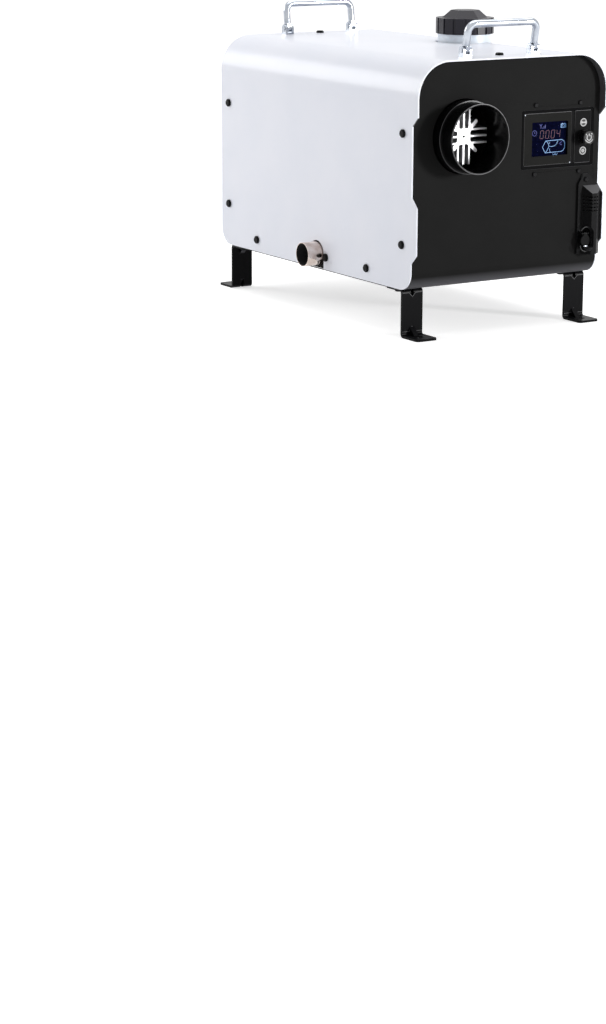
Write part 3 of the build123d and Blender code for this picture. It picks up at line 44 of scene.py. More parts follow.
log = logging.getLogger("heater")
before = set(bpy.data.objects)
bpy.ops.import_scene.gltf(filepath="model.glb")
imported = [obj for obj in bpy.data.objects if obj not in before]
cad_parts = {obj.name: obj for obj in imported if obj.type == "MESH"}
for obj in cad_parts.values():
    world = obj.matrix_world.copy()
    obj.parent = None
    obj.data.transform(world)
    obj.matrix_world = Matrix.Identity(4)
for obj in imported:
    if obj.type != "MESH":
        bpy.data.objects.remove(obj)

MM = 0.001
LEG_HEIGHT = 53 * MM

# sockets of a colour Mix node
MIX_SHARE, MIX_FIRST, MIX_SECOND, MIX_RESULT = 0, 6, 7, 2
# bands that a wave texture draws in one unit at a scale of 1
WAVE_BANDS = 20 / (2 * pi)

# millimetres: what keeps a laid piece off its carrier's face, the thickness of a printed film, the gap
# before the display's first mask and the step from one mask to the next
CLEARANCE = 0.02
FILM = 0.05
MASK_GAP = 0.05
MASK_STEP = 0.08

# what an edge needs before it is rounded: its points joined within this many millimetres, and an angle
# between its faces of at least this many degrees
WELD = 0.005
CREASE = 35
# edges of a laid piece that are sharper than this, in degrees, stay crisp
CRISP = 40


# ---------------------------------------------------------------- small tools
def linear(tone: str) -> tuple[float, float, float, float]:
    """Turns an sRGB hex colour into linear light.

    Args:
        tone: six hex digits after a #.

    Returns:
        Red, green, blue and an alpha of 1.
    """
    shares = [int(tone[i : i + 2], 16) / 255 for i in (1, 3, 5)]
    light = [c / 12.92 if c <= 0.04045 else ((c + 0.055) / 1.055) ** 2.4 for c in shares]
    return light[0], light[1], light[2], 1.0


def dimmed(tone: str, share: float) -> str:
    """Darkens an sRGB hex colour, leaving this share of each of its three parts."""
    return "#" + "".join(f"{int(int(tone[i : i + 2], 16) * share):02X}" for i in (1, 3, 5))


def per_metre(millimetres: float) -> float:
    """Texture scale at which one feature of a pattern is this wide."""
    return 1 / (millimetres * MM)


def at(x: float, y: float, h: float) -> Vector:
    """Point in metres from millimetres, its height counted from the enclosure's underside."""
    return Vector((x * MM, y * MM, h * MM + LEG_HEIGHT))


def front_seat(x: float, y: float, h: float) -> Matrix:
    """Seat on a face towards the front: u to the right, v up, and its axis straight out."""
    return Matrix.Translation(at(x, y, h)) @ Matrix.Rotation(radians(90), 4, "X")


# ---------------------------------------------------------------- materials
@dataclass
class Graph:
    """A node tree being built.

    Args:
        tree: the tree that gets the nodes.
    """

    tree: bpy.types.NodeTree

    def feed(self, node: Node, feeds: Feeds) -> None:
        """Sets a node's inputs, or links them to what drives them.

        Args:
            node: the node.
            feeds: for each input, by name or number, a value or the output socket that drives it.
        """
        for name, value in feeds.items():
            if isinstance(value, Socket):
                self.tree.links.new(value, node.inputs[name])
            else:
                node.inputs[name].default_value = value

    def add(self, kind: str, feeds: Feeds, **settings: Any) -> Node:
        """Adds a shader node with its settings, values and links.

        Args:
            kind: the node's type, which is Blender's name without the ShaderNode before it.
            feeds: for each input, by name or number, a value or the output socket that drives it.
            settings: the node's own settings.

        Returns:
            The new node.
        """
        node = self.tree.nodes.new(f"ShaderNode{kind}")
        for name, value in settings.items():
            setattr(node, name, value)
        self.feed(node, feeds)
        return node

    def seen_share(self) -> Socket:
        """Tells what is seen, straight or in a reflection or through glass, from soft light.

        Returns:
            1 on rays that are seen, and 0 on rays of soft light.
        """
        path = self.add("LightPath", {})
        seen = path.outputs["Is Camera Ray"]
        for way in ("Is Glossy Ray", "Is Transmission Ray"):
            seen = self.add("Math", {0: seen, 1: path.outputs[way]}, operation="MAXIMUM").outputs["Value"]
        return seen


@dataclass
class Paint(Graph):
    """A material being mixed.

    Args:
        shader: its surface shader.
        place: where each point lies in the model's frame, in metres.
        facing: which way the surface faces there.
    """

    shader: Node
    place: Socket
    facing: Socket

    def shade(self, feeds: Feeds) -> None:
        """Sets inputs of the surface shader itself, or links them."""
        self.feed(self.shader, feeds)

    def mottle(self, pattern: Socket, tones: Sequence[str], stops: Sequence[float] = (0.3, 0.7)) -> Socket:
        """Lets the colour wander between tones.

        Args:
            pattern: a share from 0 to 1 over the surface.
            tones: sRGB tones, from where the pattern is low to where it is high.
            stops: the pattern's values that give the pure tones.

        Returns:
            The colour.
        """
        ramp = self.add("ValToRGB", {"Fac": pattern})
        marks = ramp.color_ramp.elements
        for stop in stops[1:-1]:
            marks.new(stop)
        for mark, stop, tone in zip(marks, stops, tones):
            mark.position = stop
            mark.color = linear(tone)
        self.shade({"Base Color": ramp.outputs["Color"]})
        return ramp.outputs["Color"]

    def tint_by_facing(self, colour: Socket, other: str, low: float, high: float) -> Socket:
        """Blends in a second colour by how far a face points up.

        Args:
            colour: the first colour.
            other: the second colour, as sRGB hex.
            low: upward share of the normal at which the second colour begins.
            high: upward share at which it is full.

        Returns:
            The blended colour.
        """
        upward = self.add("SeparateXYZ", {0: self.facing}).outputs["Z"]
        share = self.add("MapRange", {"Value": upward, "From Min": low, "From Max": high})
        blend = {MIX_SHARE: share.outputs["Result"], MIX_FIRST: colour, MIX_SECOND: linear(other)}
        tinted = self.add("Mix", blend, data_type="RGBA").outputs[MIX_RESULT]
        self.shade({"Base Color": tinted})
        return tinted

    def gloss(self, pattern: Socket, low: float, high: float) -> None:
        """Lets the roughness wander with a pattern between two values."""
        span = self.add("MapRange", {"Value": pattern, "To Min": low, "To Max": high})
        self.shade({"Roughness": span.outputs["Result"]})

    def relief(self, pattern: Socket, depth: float) -> None:
        """Raises the surface with a pattern, by a depth in millimetres."""
        bump = self.add("Bump", {"Height": pattern, "Strength": 1.0, "Distance": depth * MM})
        self.shade({"Normal": bump.outputs["Normal"]})


@dataclass(frozen=True)
class Finish:
    """A surface as its maker would name it.

    Args:
        name: the material's name in the file.
        tone: its colour as sRGB hex.
        roughness: how blurred its reflections are.
        slot: the material slot that it belongs to; not used.
    """

    name: str
    tone: str
    roughness: float
    slot: str

    def material(self) -> bpy.types.Material:
        """Makes the Blender material the first time that it is asked for.

        Returns:
            The material.
        """
        known = bpy.data.materials.get(self.name)
        if known is not None:
            return known
        made = bpy.data.materials.new(self.name)
        made.use_nodes = True
        made.diffuse_color = linear(self.tone)
        tree = made.node_tree
        points = Graph(tree).add("TexCoord", {}).outputs
        paint = Paint(tree, tree.nodes["Principled BSDF"], points["Object"], points["Normal"])
        paint.shade({"Base Color": linear(self.tone), "Roughness": self.roughness})
        self.surface(paint)
        return made

    def surface(self, paint: Paint) -> None:
        """Adds what is special to this finish; each kind of finish has its own."""


@dataclass(frozen=True)
class WhitePowderCoat(Finish):
    """Polyester powder, sprayed on steel sheet and baked: a soft gloss with a faint orange peel.

    Only the outside is white. The inside, which shows in the lips, is coated black.

    Args:
        peel: width of one dimple of the orange peel in millimetres.
        cooler: the tone that the white drifts to.
        inside: tone of the inside.
        middle: a point on the hood's middle line, in millimetres.
        inward: least distance in millimetres from that line to the plane of an inside face.
    """

    peel: float = 1.6
    cooler: str = "#EDF0FA"
    inside: str = "#565658"
    middle: Triple = (0.0, 0.0, 175.5)
    inward: float = 30.0

    def surface(self, paint: Paint) -> None:
        """Orange peel for the outside, in a clean even white, and black for the inside.

        Args:
            paint: the material being mixed.
        """
        peel = paint.add("TexNoise", {"Vector": paint.place, "Scale": per_metre(self.peel), "Detail": 2.0})
        cloud = paint.add("TexNoise", {"Vector": paint.place, "Scale": per_metre(60), "Detail": 3.0})
        white = paint.mottle(cloud.outputs["Fac"], (self.cooler, self.tone))
        paint.gloss(cloud.outputs["Fac"], self.roughness - 0.03, self.roughness + 0.04)
        paint.relief(peel.outputs["Fac"], 0.006)
        # an inside face looks back at the hood's middle line, from at least the inward distance
        middle = tuple(c * MM for c in self.middle)
        out = paint.add("VectorMath", {0: paint.place, 1: middle}, operation="SUBTRACT").outputs["Vector"]
        out = paint.add("VectorMath", {0: out, 1: (1, 0, 1)}, operation="MULTIPLY").outputs["Vector"]
        reach = paint.add("VectorMath", {0: out, 1: paint.facing}, operation="DOT_PRODUCT").outputs["Value"]
        within = paint.add("Math", {0: reach, 1: -self.inward * MM}, operation="LESS_THAN").outputs["Value"]
        blend = {MIX_SHARE: within, MIX_FIRST: white, MIX_SECOND: linear(self.inside)}
        colour = paint.add("Mix", blend, data_type="RGBA").outputs[MIX_RESULT]
        paint.shade({"Base Color": colour, "Specular IOR Level": 0.5})
        paint.shade({"Coat Weight": 0.25, "Coat Roughness": 0.18})


@dataclass(frozen=True)
class BlackPowderCoat(Finish):
    """Fine-textured matt powder coat: dark grey-black, with a sandy grain that spreads every highlight.

    Args:
        grit: width of a grain in millimetres; real ones are near 0.2, and it is coarser so that it shows.
        shine: specular level.
        painted_top_sheen: tone of faces that point up, a painted sheen as if lit from above.
        painted_floor_sheen: tone of faces that point down, a painted reflection of the lit floor.
    """

    grit: float = 0.45
    shine: float = 0.2
    painted_top_sheen: str = "#58585A"
    painted_floor_sheen: str = "#66666A"

    def surface(self, paint: Paint) -> None:
        """Sandy grain over a cloudy tone, with a painted sheen on top and a painted floor reflection
        underneath.

        Args:
            paint: the material being mixed.
        """
        grit = paint.add("TexNoise", {"Vector": paint.place, "Scale": per_metre(self.grit), "Detail": 3.0})
        cloud = paint.add("TexNoise", {"Vector": paint.place, "Scale": per_metre(40), "Detail": 4.0})
        colour = paint.mottle(cloud.outputs["Fac"], (dimmed(self.tone, 0.95), self.tone))
        # faces that point up turn paler: painted sheen from the light above
        colour = paint.tint_by_facing(colour, self.painted_top_sheen, 0.3, 0.6)
        # faces that point down turn paler: painted reflection of the lit floor
        paint.tint_by_facing(colour, self.painted_floor_sheen, -0.3, -1.0)
        paint.gloss(grit.outputs["Fac"], self.roughness - 0.05, self.roughness + 0.06)
        paint.relief(grit.outputs["Fac"], 0.008)
        paint.shade({"Specular IOR Level": self.shine})


@dataclass(frozen=True)
class BlackOxideSteel(Finish):
    """Steel blackened in a hot bath and oiled: nearly black, with a tight glint on each curve."""

    def surface(self, paint: Paint) -> None:
        """Cold-headed texture, drawn at 0.6 mm so that it shows, and a little wear.

        Args:
            paint: the material being mixed.
        """
        fine = paint.add("TexNoise", {"Vector": paint.place, "Scale": per_metre(0.6), "Detail": 4.0})
        paint.mottle(fine.outputs["Fac"], ("#08080A", self.tone))
        paint.gloss(fine.outputs["Fac"], self.roughness - 0.06, self.roughness + 0.1)
        paint.relief(fine.outputs["Fac"], 0.006)
        paint.shade({"Specular IOR Level": 0.08})


@dataclass(frozen=True)
class ZincPlate(Finish):
    """Bright zinc plate with a clear blue passivation: a cool silver mirror, a little soft."""

    def surface(self, paint: Paint) -> None:
        """Bluish drift over 14 mm, and the drawn steel's lines, coarse at 0.9 mm so that they show.

        Args:
            paint: the material being mixed.
        """
        drift = paint.add("TexNoise", {"Vector": paint.place, "Scale": per_metre(14), "Detail": 3.0})
        fine = paint.add("TexNoise", {"Vector": paint.place, "Scale": per_metre(0.9), "Detail": 5.0})
        paint.mottle(drift.outputs["Fac"], ("#A2A8B2", self.tone))
        paint.gloss(fine.outputs["Fac"], self.roughness - 0.05, self.roughness + 0.09)
        paint.relief(fine.outputs["Fac"], 0.004)
        paint.shade({"Metallic": 1.0})


@dataclass(frozen=True)
class DrawnStainless(Finish):
    """Drawn or turned stainless steel: warm grey metal with fine lines and a faint tint from heat.

    Args:
        stretch: how much longer the lines are along x than across it, as a scale for each axis.
    """

    stretch: Triple = (0.04, 1.0, 1.0)

    def surface(self, paint: Paint) -> None:
        """Draw lines, coarse at 0.5 mm so that they show, and a straw-coloured drift over 18 mm.

        Args:
            paint: the material being mixed.
        """
        along = paint.add("Mapping", {"Vector": paint.place, "Scale": self.stretch}).outputs["Vector"]
        lines = paint.add("TexNoise", {"Vector": along, "Scale": per_metre(0.5), "Detail": 4.0})
        drift = paint.add("TexNoise", {"Vector": paint.place, "Scale": per_metre(18), "Detail": 3.0})
        paint.mottle(drift.outputs["Fac"], ("#B3A59B", self.tone))
        paint.gloss(lines.outputs["Fac"], self.roughness - 0.07, self.roughness + 0.1)
        paint.relief(lines.outputs["Fac"], 0.01)
        paint.shade({"Metallic": 1.0})


@dataclass(frozen=True)
class SootedTube(Finish):
    """Exhaust tube: polished stainless outside, browned by heat, and soot-black in the bore.

    Args:
        stretch: how much longer the draw lines are along x than across it, as a scale for each axis.
        axis: y and z of the tube's axis in millimetres.
        bore: radius inside which the soot lies, in millimetres.
    """

    stretch: Triple = (0.04, 1.0, 1.0)
    axis: Pair = (-12.0, 69.2)
    bore: float = 12.9

    def surface(self, paint: Paint) -> None:
        """Heat stains of 9 mm and draw lines, coarse at 0.5 mm so that they show, and dull soot inside.

        Args:
            paint: the material being mixed.
        """
        along = paint.add("Mapping", {"Vector": paint.place, "Scale": self.stretch}).outputs["Vector"]
        lines = paint.add("TexNoise", {"Vector": along, "Scale": per_metre(0.5), "Detail": 4.0})
        stain = paint.add("TexNoise", {"Vector": paint.place, "Scale": per_metre(9), "Detail": 2.0})
        shift = (0.0, -self.axis[0] * MM, -self.axis[1] * MM)
        out = paint.add("Mapping", {"Vector": paint.place, "Location": shift, "Scale": (0, 1, 1)})
        radius = paint.add("VectorMath", {0: out.outputs["Vector"]}, operation="LENGTH").outputs["Value"]
        clean = paint.add("Math", {0: radius, 1: self.bore * MM}, operation="GREATER_THAN").outputs["Value"]
        share = paint.add("MapRange", {"Value": stain.outputs["Fac"], "To Min": 0.35, "To Max": 1.25})
        mask = paint.add("Math", {0: share.outputs["Result"], 1: clean}, operation="MULTIPLY")
        tones = ("#0A0909", "#7C6A62", "#CDBDB4", self.tone)
        paint.mottle(mask.outputs["Value"], tones, (0.0, 0.5, 0.72, 1.0))
        paint.relief(lines.outputs["Fac"], 0.008)
        paint.gloss(clean, 0.9, self.roughness)
        paint.shade({"Metallic": clean})


@dataclass(frozen=True)
class SpangledZinc(Finish):
    """Hot-dip galvanised sheet: dull silver with the flowers of the frozen zinc."""

    def surface(self, paint: Paint) -> None:
        """Zinc flowers about 6 mm across.

        Args:
            paint: the material being mixed.
        """
        flower = paint.add("TexVoronoi", {"Vector": paint.place, "Scale": per_metre(6)})
        grey = paint.add("RGBToBW", {"Color": flower.outputs["Color"]}).outputs["Val"]
        paint.mottle(grey, ("#8E9295", self.tone))
        paint.gloss(grey, self.roughness - 0.1, self.roughness + 0.12)
        paint.relief(flower.outputs["Distance"], 0.02)
        paint.shade({"Metallic": 1.0})


@dataclass(frozen=True)
class CastAluminium(Finish):
    """Die-cast aluminium as it leaves the die: pale and slightly grainy, its mirror dulled by the skin."""

    def surface(self, paint: Paint) -> None:
        """Die texture of 0.8 mm and cloudy flow marks of 12 mm.

        Args:
            paint: the material being mixed.
        """
        skin = paint.add("TexNoise", {"Vector": paint.place, "Scale": per_metre(0.8), "Detail": 4.0})
        flow = paint.add("TexNoise", {"Vector": paint.place, "Scale": per_metre(12), "Detail": 4.0})
        paint.mottle(flow.outputs["Fac"], ("#8E8F91", self.tone))
        paint.gloss(skin.outputs["Fac"], self.roughness - 0.08, self.roughness + 0.1)
        paint.relief(skin.outputs["Fac"], 0.03)
        paint.shade({"Metallic": 0.3})


class Grain(Enum):
    """How a moulding tool was made: width of its grain and depth of its relief, in millimetres.

    The two rough ones are coarser than life, so that they show.
    """

    POLISHED = (4.0, 0.002)
    SATIN = (0.5, 0.01)
    SPARK_ERODED = (0.7, 0.035)


@dataclass(frozen=True)
class MouldedPlastic(Finish):
    """Injection-moulded plastic: an even colour whose gloss comes from the grain of the tool.

    Args:
        grain: how the tool was made.
        shine: specular level.
        painted_top_sheen: tone of faces that point up, a painted sheen from the light above; none if empty.
    """

    grain: Grain = Grain.SATIN
    shine: float = 0.5
    painted_top_sheen: str = ""

    def surface(self, paint: Paint) -> None:
        """Tool grain over a very faint drift of colour, 25 mm wide, from the melt's flow.

        Args:
            paint: the material being mixed.
        """
        width, depth = self.grain.value
        skin = paint.add("TexNoise", {"Vector": paint.place, "Scale": per_metre(width), "Detail": 3.0})
        flow = paint.add("TexNoise", {"Vector": paint.place, "Scale": per_metre(25), "Detail": 2.0})
        colour = paint.mottle(flow.outputs["Fac"], (dimmed(self.tone, 0.93), self.tone))
        # faces that point up turn paler: painted sheen from the light above
        if self.painted_top_sheen:
            paint.tint_by_facing(colour, self.painted_top_sheen, 0.3, 0.6)
        paint.gloss(skin.outputs["Fac"], self.roughness - 0.04, self.roughness + 0.06)
        paint.relief(skin.outputs["Fac"], depth)
        paint.shade({"Specular IOR Level": self.shine})


@dataclass(frozen=True)
class PaintedEdgeNylon(Finish):
    """Black glass-filled nylon tube: deep black and glossy, with painted highlights along the edge of its
    mouth and of its collar.

    Args:
        axis: x and z of the tube's axis in millimetres.
        painted_highlight_tone: tone of the painted highlight on an edge.
        edges: y and radius of each edge with a painted highlight, in millimetres, and how strong the
            highlight is.
        highlight_reach: how far from the edge the painted highlight reaches, along y and across it, in
            millimetres.
    """

    axis: Pair = (-58.3, 215.6)
    painted_highlight_tone: str = "#727274"
    edges: tuple[Triple, ...] = ((-233.4, 37.2, 1.0), (-213.5, 39.1, 0.55))
    highlight_reach: Pair = (0.3, 0.5)

    def surface(self, paint: Paint) -> None:
        """Painted highlights at the mouth and on the collar's corner, and a coarse die grain of 0.7 mm.

        Args:
            paint: the material being mixed.
        """
        skin = paint.add("TexNoise", {"Vector": paint.place, "Scale": per_metre(0.7), "Detail": 3.0})
        paint.gloss(skin.outputs["Fac"], self.roughness - 0.04, self.roughness + 0.08)
        paint.relief(skin.outputs["Fac"], 0.008)
        depth = paint.add("SeparateXYZ", {"Vector": paint.place}).outputs["Y"]
        shift = (-self.axis[0] * MM, 0.0, -self.axis[1] * MM)
        out = paint.add("Mapping", {"Vector": paint.place, "Location": shift, "Scale": (1, 0, 1)})
        radius = paint.add("VectorMath", {0: out.outputs["Vector"]}, operation="LENGTH").outputs["Value"]
        # painted highlight bands along the mouth's edge and the collar's corner
        pale: Socket | float = 0.0
        for y, edge_radius, share in self.edges:
            band: Socket | float = share
            for length, middle, reach in zip((depth, radius), (y, edge_radius), self.highlight_reach):
                span = {0: length, 1: middle * MM, 2: reach * MM}
                near = paint.add("Math", span, operation="COMPARE").outputs["Value"]
                band = paint.add("Math", {0: band, 1: near}, operation="MULTIPLY").outputs["Value"]
            pale = paint.add("Math", {0: pale, 1: band}, operation="ADD").outputs["Value"]
        paint.mottle(pale, (self.tone, self.painted_highlight_tone), (0.0, 1.0))
        paint.shade({"Specular IOR Level": 0.15})


@dataclass(frozen=True)
class NaturalPolyethylene(Finish):
    """Blow-moulded natural polyethylene: milky, lets a little light through, and has a waxy gloss.

    Args:
        depth: how deep light scatters in it, in millimetres.
    """

    depth: float = 4.0

    def surface(self, paint: Paint) -> None:
        """Soft ripple of 5 mm from the mould, and light that scatters under the skin.

        Args:
            paint: the material being mixed.
        """
        ripple = paint.add("TexNoise", {"Vector": paint.place, "Scale": per_metre(5), "Detail": 2.0})
        paint.mottle(ripple.outputs["Fac"], ("#E4EBF4", self.tone))
        paint.relief(ripple.outputs["Fac"], 0.02)
        paint.shade({"Specular IOR Level": 1.0, "Subsurface Weight": 0.35})
        paint.shade({"Subsurface Radius": (1.0, 0.9, 0.85), "Subsurface Scale": self.depth * MM})


@dataclass(frozen=True)
class Rubber(Finish):
    """Pressed or extruded rubber: dark and dull, with a bloom of fine dust."""

    def surface(self, paint: Paint) -> None:
        """Bloom in patches of 5 mm over a skin of 0.4 mm.

        Args:
            paint: the material being mixed.
        """
        bloom = paint.add("TexNoise", {"Vector": paint.place, "Scale": per_metre(5), "Detail": 5.0})
        skin = paint.add("TexNoise", {"Vector": paint.place, "Scale": per_metre(0.4), "Detail": 2.0})
        paint.mottle(bloom.outputs["Fac"], ("#040405", self.tone))
        paint.relief(skin.outputs["Fac"], 0.02)
        paint.shade({"Specular IOR Level": 0.08})


@dataclass(frozen=True)
class PressedFibre(Finish):
    """Heat-proof fibre sheet: dry and grey, with short pressed fibres."""

    def surface(self, paint: Paint) -> None:
        """Fibres about 1 mm long, pressed flat.

        Args:
            paint: the material being mixed.
        """
        fibre = paint.add("TexVoronoi", {"Vector": paint.place, "Scale": per_metre(1.0)}).outputs["Distance"]
        paint.mottle(fibre, ("#3A3A3C", self.tone))
        paint.relief(fibre, 0.05)


@dataclass(frozen=True)
class ClearAcrylic(Finish):
    """Smoked acrylic sheet with an anti-glare coat: almost all see-through, with hardly a reflection."""

    def surface(self, paint: Paint) -> None:
        """Clear plastic with a trace of polishing haze 3 mm across.

        Args:
            paint: the material being mixed.
        """
        haze = paint.add("TexNoise", {"Vector": paint.place, "Scale": per_metre(3), "Detail": 2.0})
        paint.gloss(haze.outputs["Fac"], self.roughness - 0.04, self.roughness + 0.04)
        paint.shade({"Alpha": 0.02, "Specular IOR Level": 0.0})


@dataclass(frozen=True)
class LitPanel(Finish):
    """Liquid-crystal panel lit from behind: a deep navy field, a little uneven from its backlight.

    Args:
        glow: strength of its light.
        dark: the tone between the bright spots.
        pitch: distance from spot to spot in millimetres.
    """

    glow: float = 0.25
    dark: str = "#06081A"
    pitch: float = 5.65487

    def surface(self, paint: Paint) -> None:
        """Soft spots in rows and columns, one over each lamp of the backlight.

        Args:
            paint: the material being mixed.
        """
        bands = {"Vector": paint.place, "Scale": per_metre(self.pitch) / WAVE_BANDS}
        rows = paint.add("TexWave", bands, bands_direction="Z").outputs["Fac"]
        columns = paint.add("TexWave", bands, bands_direction="X").outputs["Fac"]
        spots = paint.add("Math", {0: rows, 1: columns}, operation="MULTIPLY").outputs["Value"]
        paint.mottle(spots, (self.dark, self.tone), (0.0, 1.0))
        paint.shade({"Emission Color": linear(self.tone), "Emission Strength": self.glow})
        paint.shade({"Specular IOR Level": 0.0})


@dataclass(frozen=True)
class LitInk(Finish):
    """Colour mask of a lit symbol: even light from a thin printed film.

    Args:
        glow: strength of its light.
    """

    glow: float = 0.45

    def surface(self, paint: Paint) -> None:
        """The film is a little uneven, in patches of 2 mm.

        Args:
            paint: the material being mixed.
        """
        film = paint.add("TexNoise", {"Vector": paint.place, "Scale": per_metre(2), "Detail": 2.0})
        paint.mottle(film.outputs["Fac"], (dimmed(self.tone, 0.8), self.tone))
        paint.shade({"Emission Color": linear(self.tone), "Emission Strength": self.glow})


@dataclass(frozen=True)
class PadInk(Finish):
    """Pad-printed ink: a flat matt film with slightly ragged cover."""

    def surface(self, paint: Paint) -> None:
        """Cover varies in specks of 0.4 mm.

        Args:
            paint: the material being mixed.
        """
        cover = paint.add("TexNoise", {"Vector": paint.place, "Scale": per_metre(0.4), "Detail": 3.0})
        paint.mottle(cover.outputs["Fac"], ("#B9BABC", self.tone), (0.25, 0.5))


@dataclass(frozen=True)
class CircuitBoard(Finish):
    """Glass-filled epoxy board under green solder resist: glossy green over copper."""

    def surface(self, paint: Paint) -> None:
        """Copper fields of 4.5 by 2.25 mm, a half and a quarter of the texture's unit, in two greens.

        Args:
            paint: the material being mixed.
        """
        greens = {"Color1": linear(self.tone), "Color2": linear("#174A2A")}
        fields = paint.add("TexBrick", {"Vector": paint.place, "Scale": per_metre(9), **greens})
        paint.shade({"Base Color": fields.outputs["Color"]})


@dataclass(frozen=True)
class StudioPaper(Finish):
    """Pale seamless paper: the camera sees it near white, and it keeps the object's shadow.

    Args:
        near: distance from the origin, in metres, up to which the lift is the least.
        far: distance from which it is the most.
        near_lift: white that is added near the object, for what is seen and not for soft light.
        far_lift: white that is added far from it.
    """

    near: float = 0.5
    far: float = 1.6
    near_lift: float = 0.62
    far_lift: float = 0.78

    def surface(self, paint: Paint) -> None:
        """Paper tooth of 3 mm, and white for what is seen, so that the paper never turns grey there.

        Args:
            paint: the material being mixed.
        """
        tooth = paint.add("TexNoise", {"Vector": paint.place, "Scale": per_metre(3), "Detail": 2.0})
        paint.relief(tooth.outputs["Fac"], 0.02)
        paint.shade({"Specular IOR Level": 0.1})
        away = paint.add("VectorMath", {0: paint.place}, operation="LENGTH").outputs["Value"]
        span = {"Value": away, "From Min": self.near, "From Max": self.far}
        span |= {"To Min": self.near_lift, "To Max": self.far_lift}
        lift = paint.add("MapRange", span).outputs["Result"]
        light = paint.add("Math", {0: paint.seen_share(), 1: lift}, operation="MULTIPLY").outputs["Value"]
        glow = paint.add("Emission", {"Strength": light}).outputs["Emission"]
        mixed = paint.add("AddShader", {0: paint.shader.outputs["BSDF"], 1: glow}).outputs["Shader"]
        paint.feed(paint.tree.nodes["Material Output"], {"Surface": mixed})


WHITE_COVER = WhitePowderCoat("powder_coat_white", "#F1F3FC", 0.38, "white_paint")
# its paler upward and downward faces are a painted sheen and a painted floor reflection
BLACK_CHASSIS = BlackPowderCoat("powder_coat_black", "#212121", 0.45, "black_paint", shine=0.015)
# its slightly paler upward faces are a painted sheen
BLACK_LEGS = BlackPowderCoat(
    "powder_coat_black_legs", "#0B0B0D", 0.3, "black_paint", shine=0.06, painted_top_sheen="#0E0E10"
)
# grey strips laid along the legs' bends: painted highlights of the bends
BEND_HIGHLIGHT_PAINT = BlackPowderCoat("painted_bend_highlight", "#606062", 0.3, "black_paint", shine=0.3)
BLACK_SCREWS = BlackOxideSteel("black_oxide_steel", "#09090B", 0.4, "black_steel")
BRIGHT_ZINC = ZincPlate("bright_zinc_plate", "#BFC4CB", 0.16, "zinc")
EXHAUST_STEEL = SootedTube("drawn_stainless_steel_heated", "#E3DAD4", 0.16, "steel")
SMALL_STEEL = DrawnStainless("turned_steel", "#B9B8B6", 0.3, "steel")
GALVANISED = SpangledZinc("galvanised_sheet", "#B4B8BC", 0.4, "spring_steel")
CAST_CORE = CastAluminium("cast_aluminium", "#A0A1A3", 0.42, "cast_aluminium")
# the pale bands at its mouth and collar are painted highlights
DUCT_NYLON = PaintedEdgeNylon("glass_filled_nylon_black", "#050506", 0.24, "black_plastic")
BEZEL_ABS = MouldedPlastic("abs_black_satin", "#161617", 0.4, "black_plastic", shine=0.02)
SURROUND_ABS = MouldedPlastic("abs_dark_satin", "#20201F", 0.4, "black_plastic", shine=0.02)
# its pale upward faces are a painted highlight along the plates' top edges
EDGE_ABS = MouldedPlastic(
    "abs_polished_edge", "#161618", 0.2, "black_plastic", Grain.POLISHED, shine=0.3, painted_top_sheen="#B0B0B2"
)
# paler than the socket housing: a painted highlight along the pocket's edge, over real gloss
RIM_ABS = MouldedPlastic("abs_polished_rim", "#2C2C2E", 0.15, "black_plastic", Grain.POLISHED, shine=0.6)
BUTTON_ABS = MouldedPlastic("abs_black_buttons", "#070708", 0.25, "black_plastic", Grain.POLISHED, shine=0.3)
# its paler upward faces are a painted highlight on the housing's top facets
SOCKET_ABS = MouldedPlastic(
    "abs_black_grained", "#1A1A1B", 0.34, "black_plastic", shine=0.04, painted_top_sheen="#606062"
)
CAP_POLYETHYLENE = MouldedPlastic("polyethylene_dark", "#1F1D26", 0.32, "black_plastic", shine=0.3)
INNER_PLASTIC = MouldedPlastic(
    "polypropylene_dark", "#151517", 0.5, "inner_plastic", Grain.SPARK_ERODED, shine=0.3
)
SOCKET_GREY = MouldedPlastic("abs_socket_lid", "#0E0E0F", 0.3, "socket_grey", Grain.POLISHED, shine=0.06)
TANK_WHITE = NaturalPolyethylene("polyethylene_natural", "#E9F3FF", 0.38, "white_plastic")
HOSE_RUBBER = Rubber("nitrile_rubber", "#161617", 0.7, "rubber")
# black strips in the panel's gap and under the hood's lower edges: painted shade
GAP_SHADE_BLACK = Rubber("painted_gap_shade", "#050506", 0.8, "rubber")
CASE_GASKET = PressedFibre("pressed_fibre", "#5A5A5C", 0.9, "gasket")
WINDOW_ACRYLIC = ClearAcrylic("smoked_acrylic", "#0C0E18", 0.22, "window")
DISPLAY_PANEL = LitPanel("liquid_crystal_panel", "#080A24", 0.5, "screen")
INK_BLUE = LitInk("lit_mask_blue", "#10228A", 0.3, "screen", glow=0.25)
INK_SKY = LitInk("lit_mask_sky_blue", "#6A9ACF", 0.3, "screen")
INK_RED = LitInk("lit_mask_red", "#4E1238", 0.3, "screen")
WHITE_PRINT = PadInk("pad_print_white", "#BCBCBC", 0.5, "black_plastic")
GREEN_BOARD = CircuitBoard("epoxy_board_green", "#1E5A34", 0.35, "board")
PALE_PAPER = StudioPaper("studio_paper", "#F2F2F2", 0.9, "white_paint")


# ---------------------------------------------------------------- outlines, in millimetres
def circle(radius: float, steps: int = 32) -> list[Pair]:
    """Points round a circle of this radius."""
    return [(radius * cos(2 * pi * i / steps), radius * sin(2 * pi * i / steps)) for i in range(steps)]


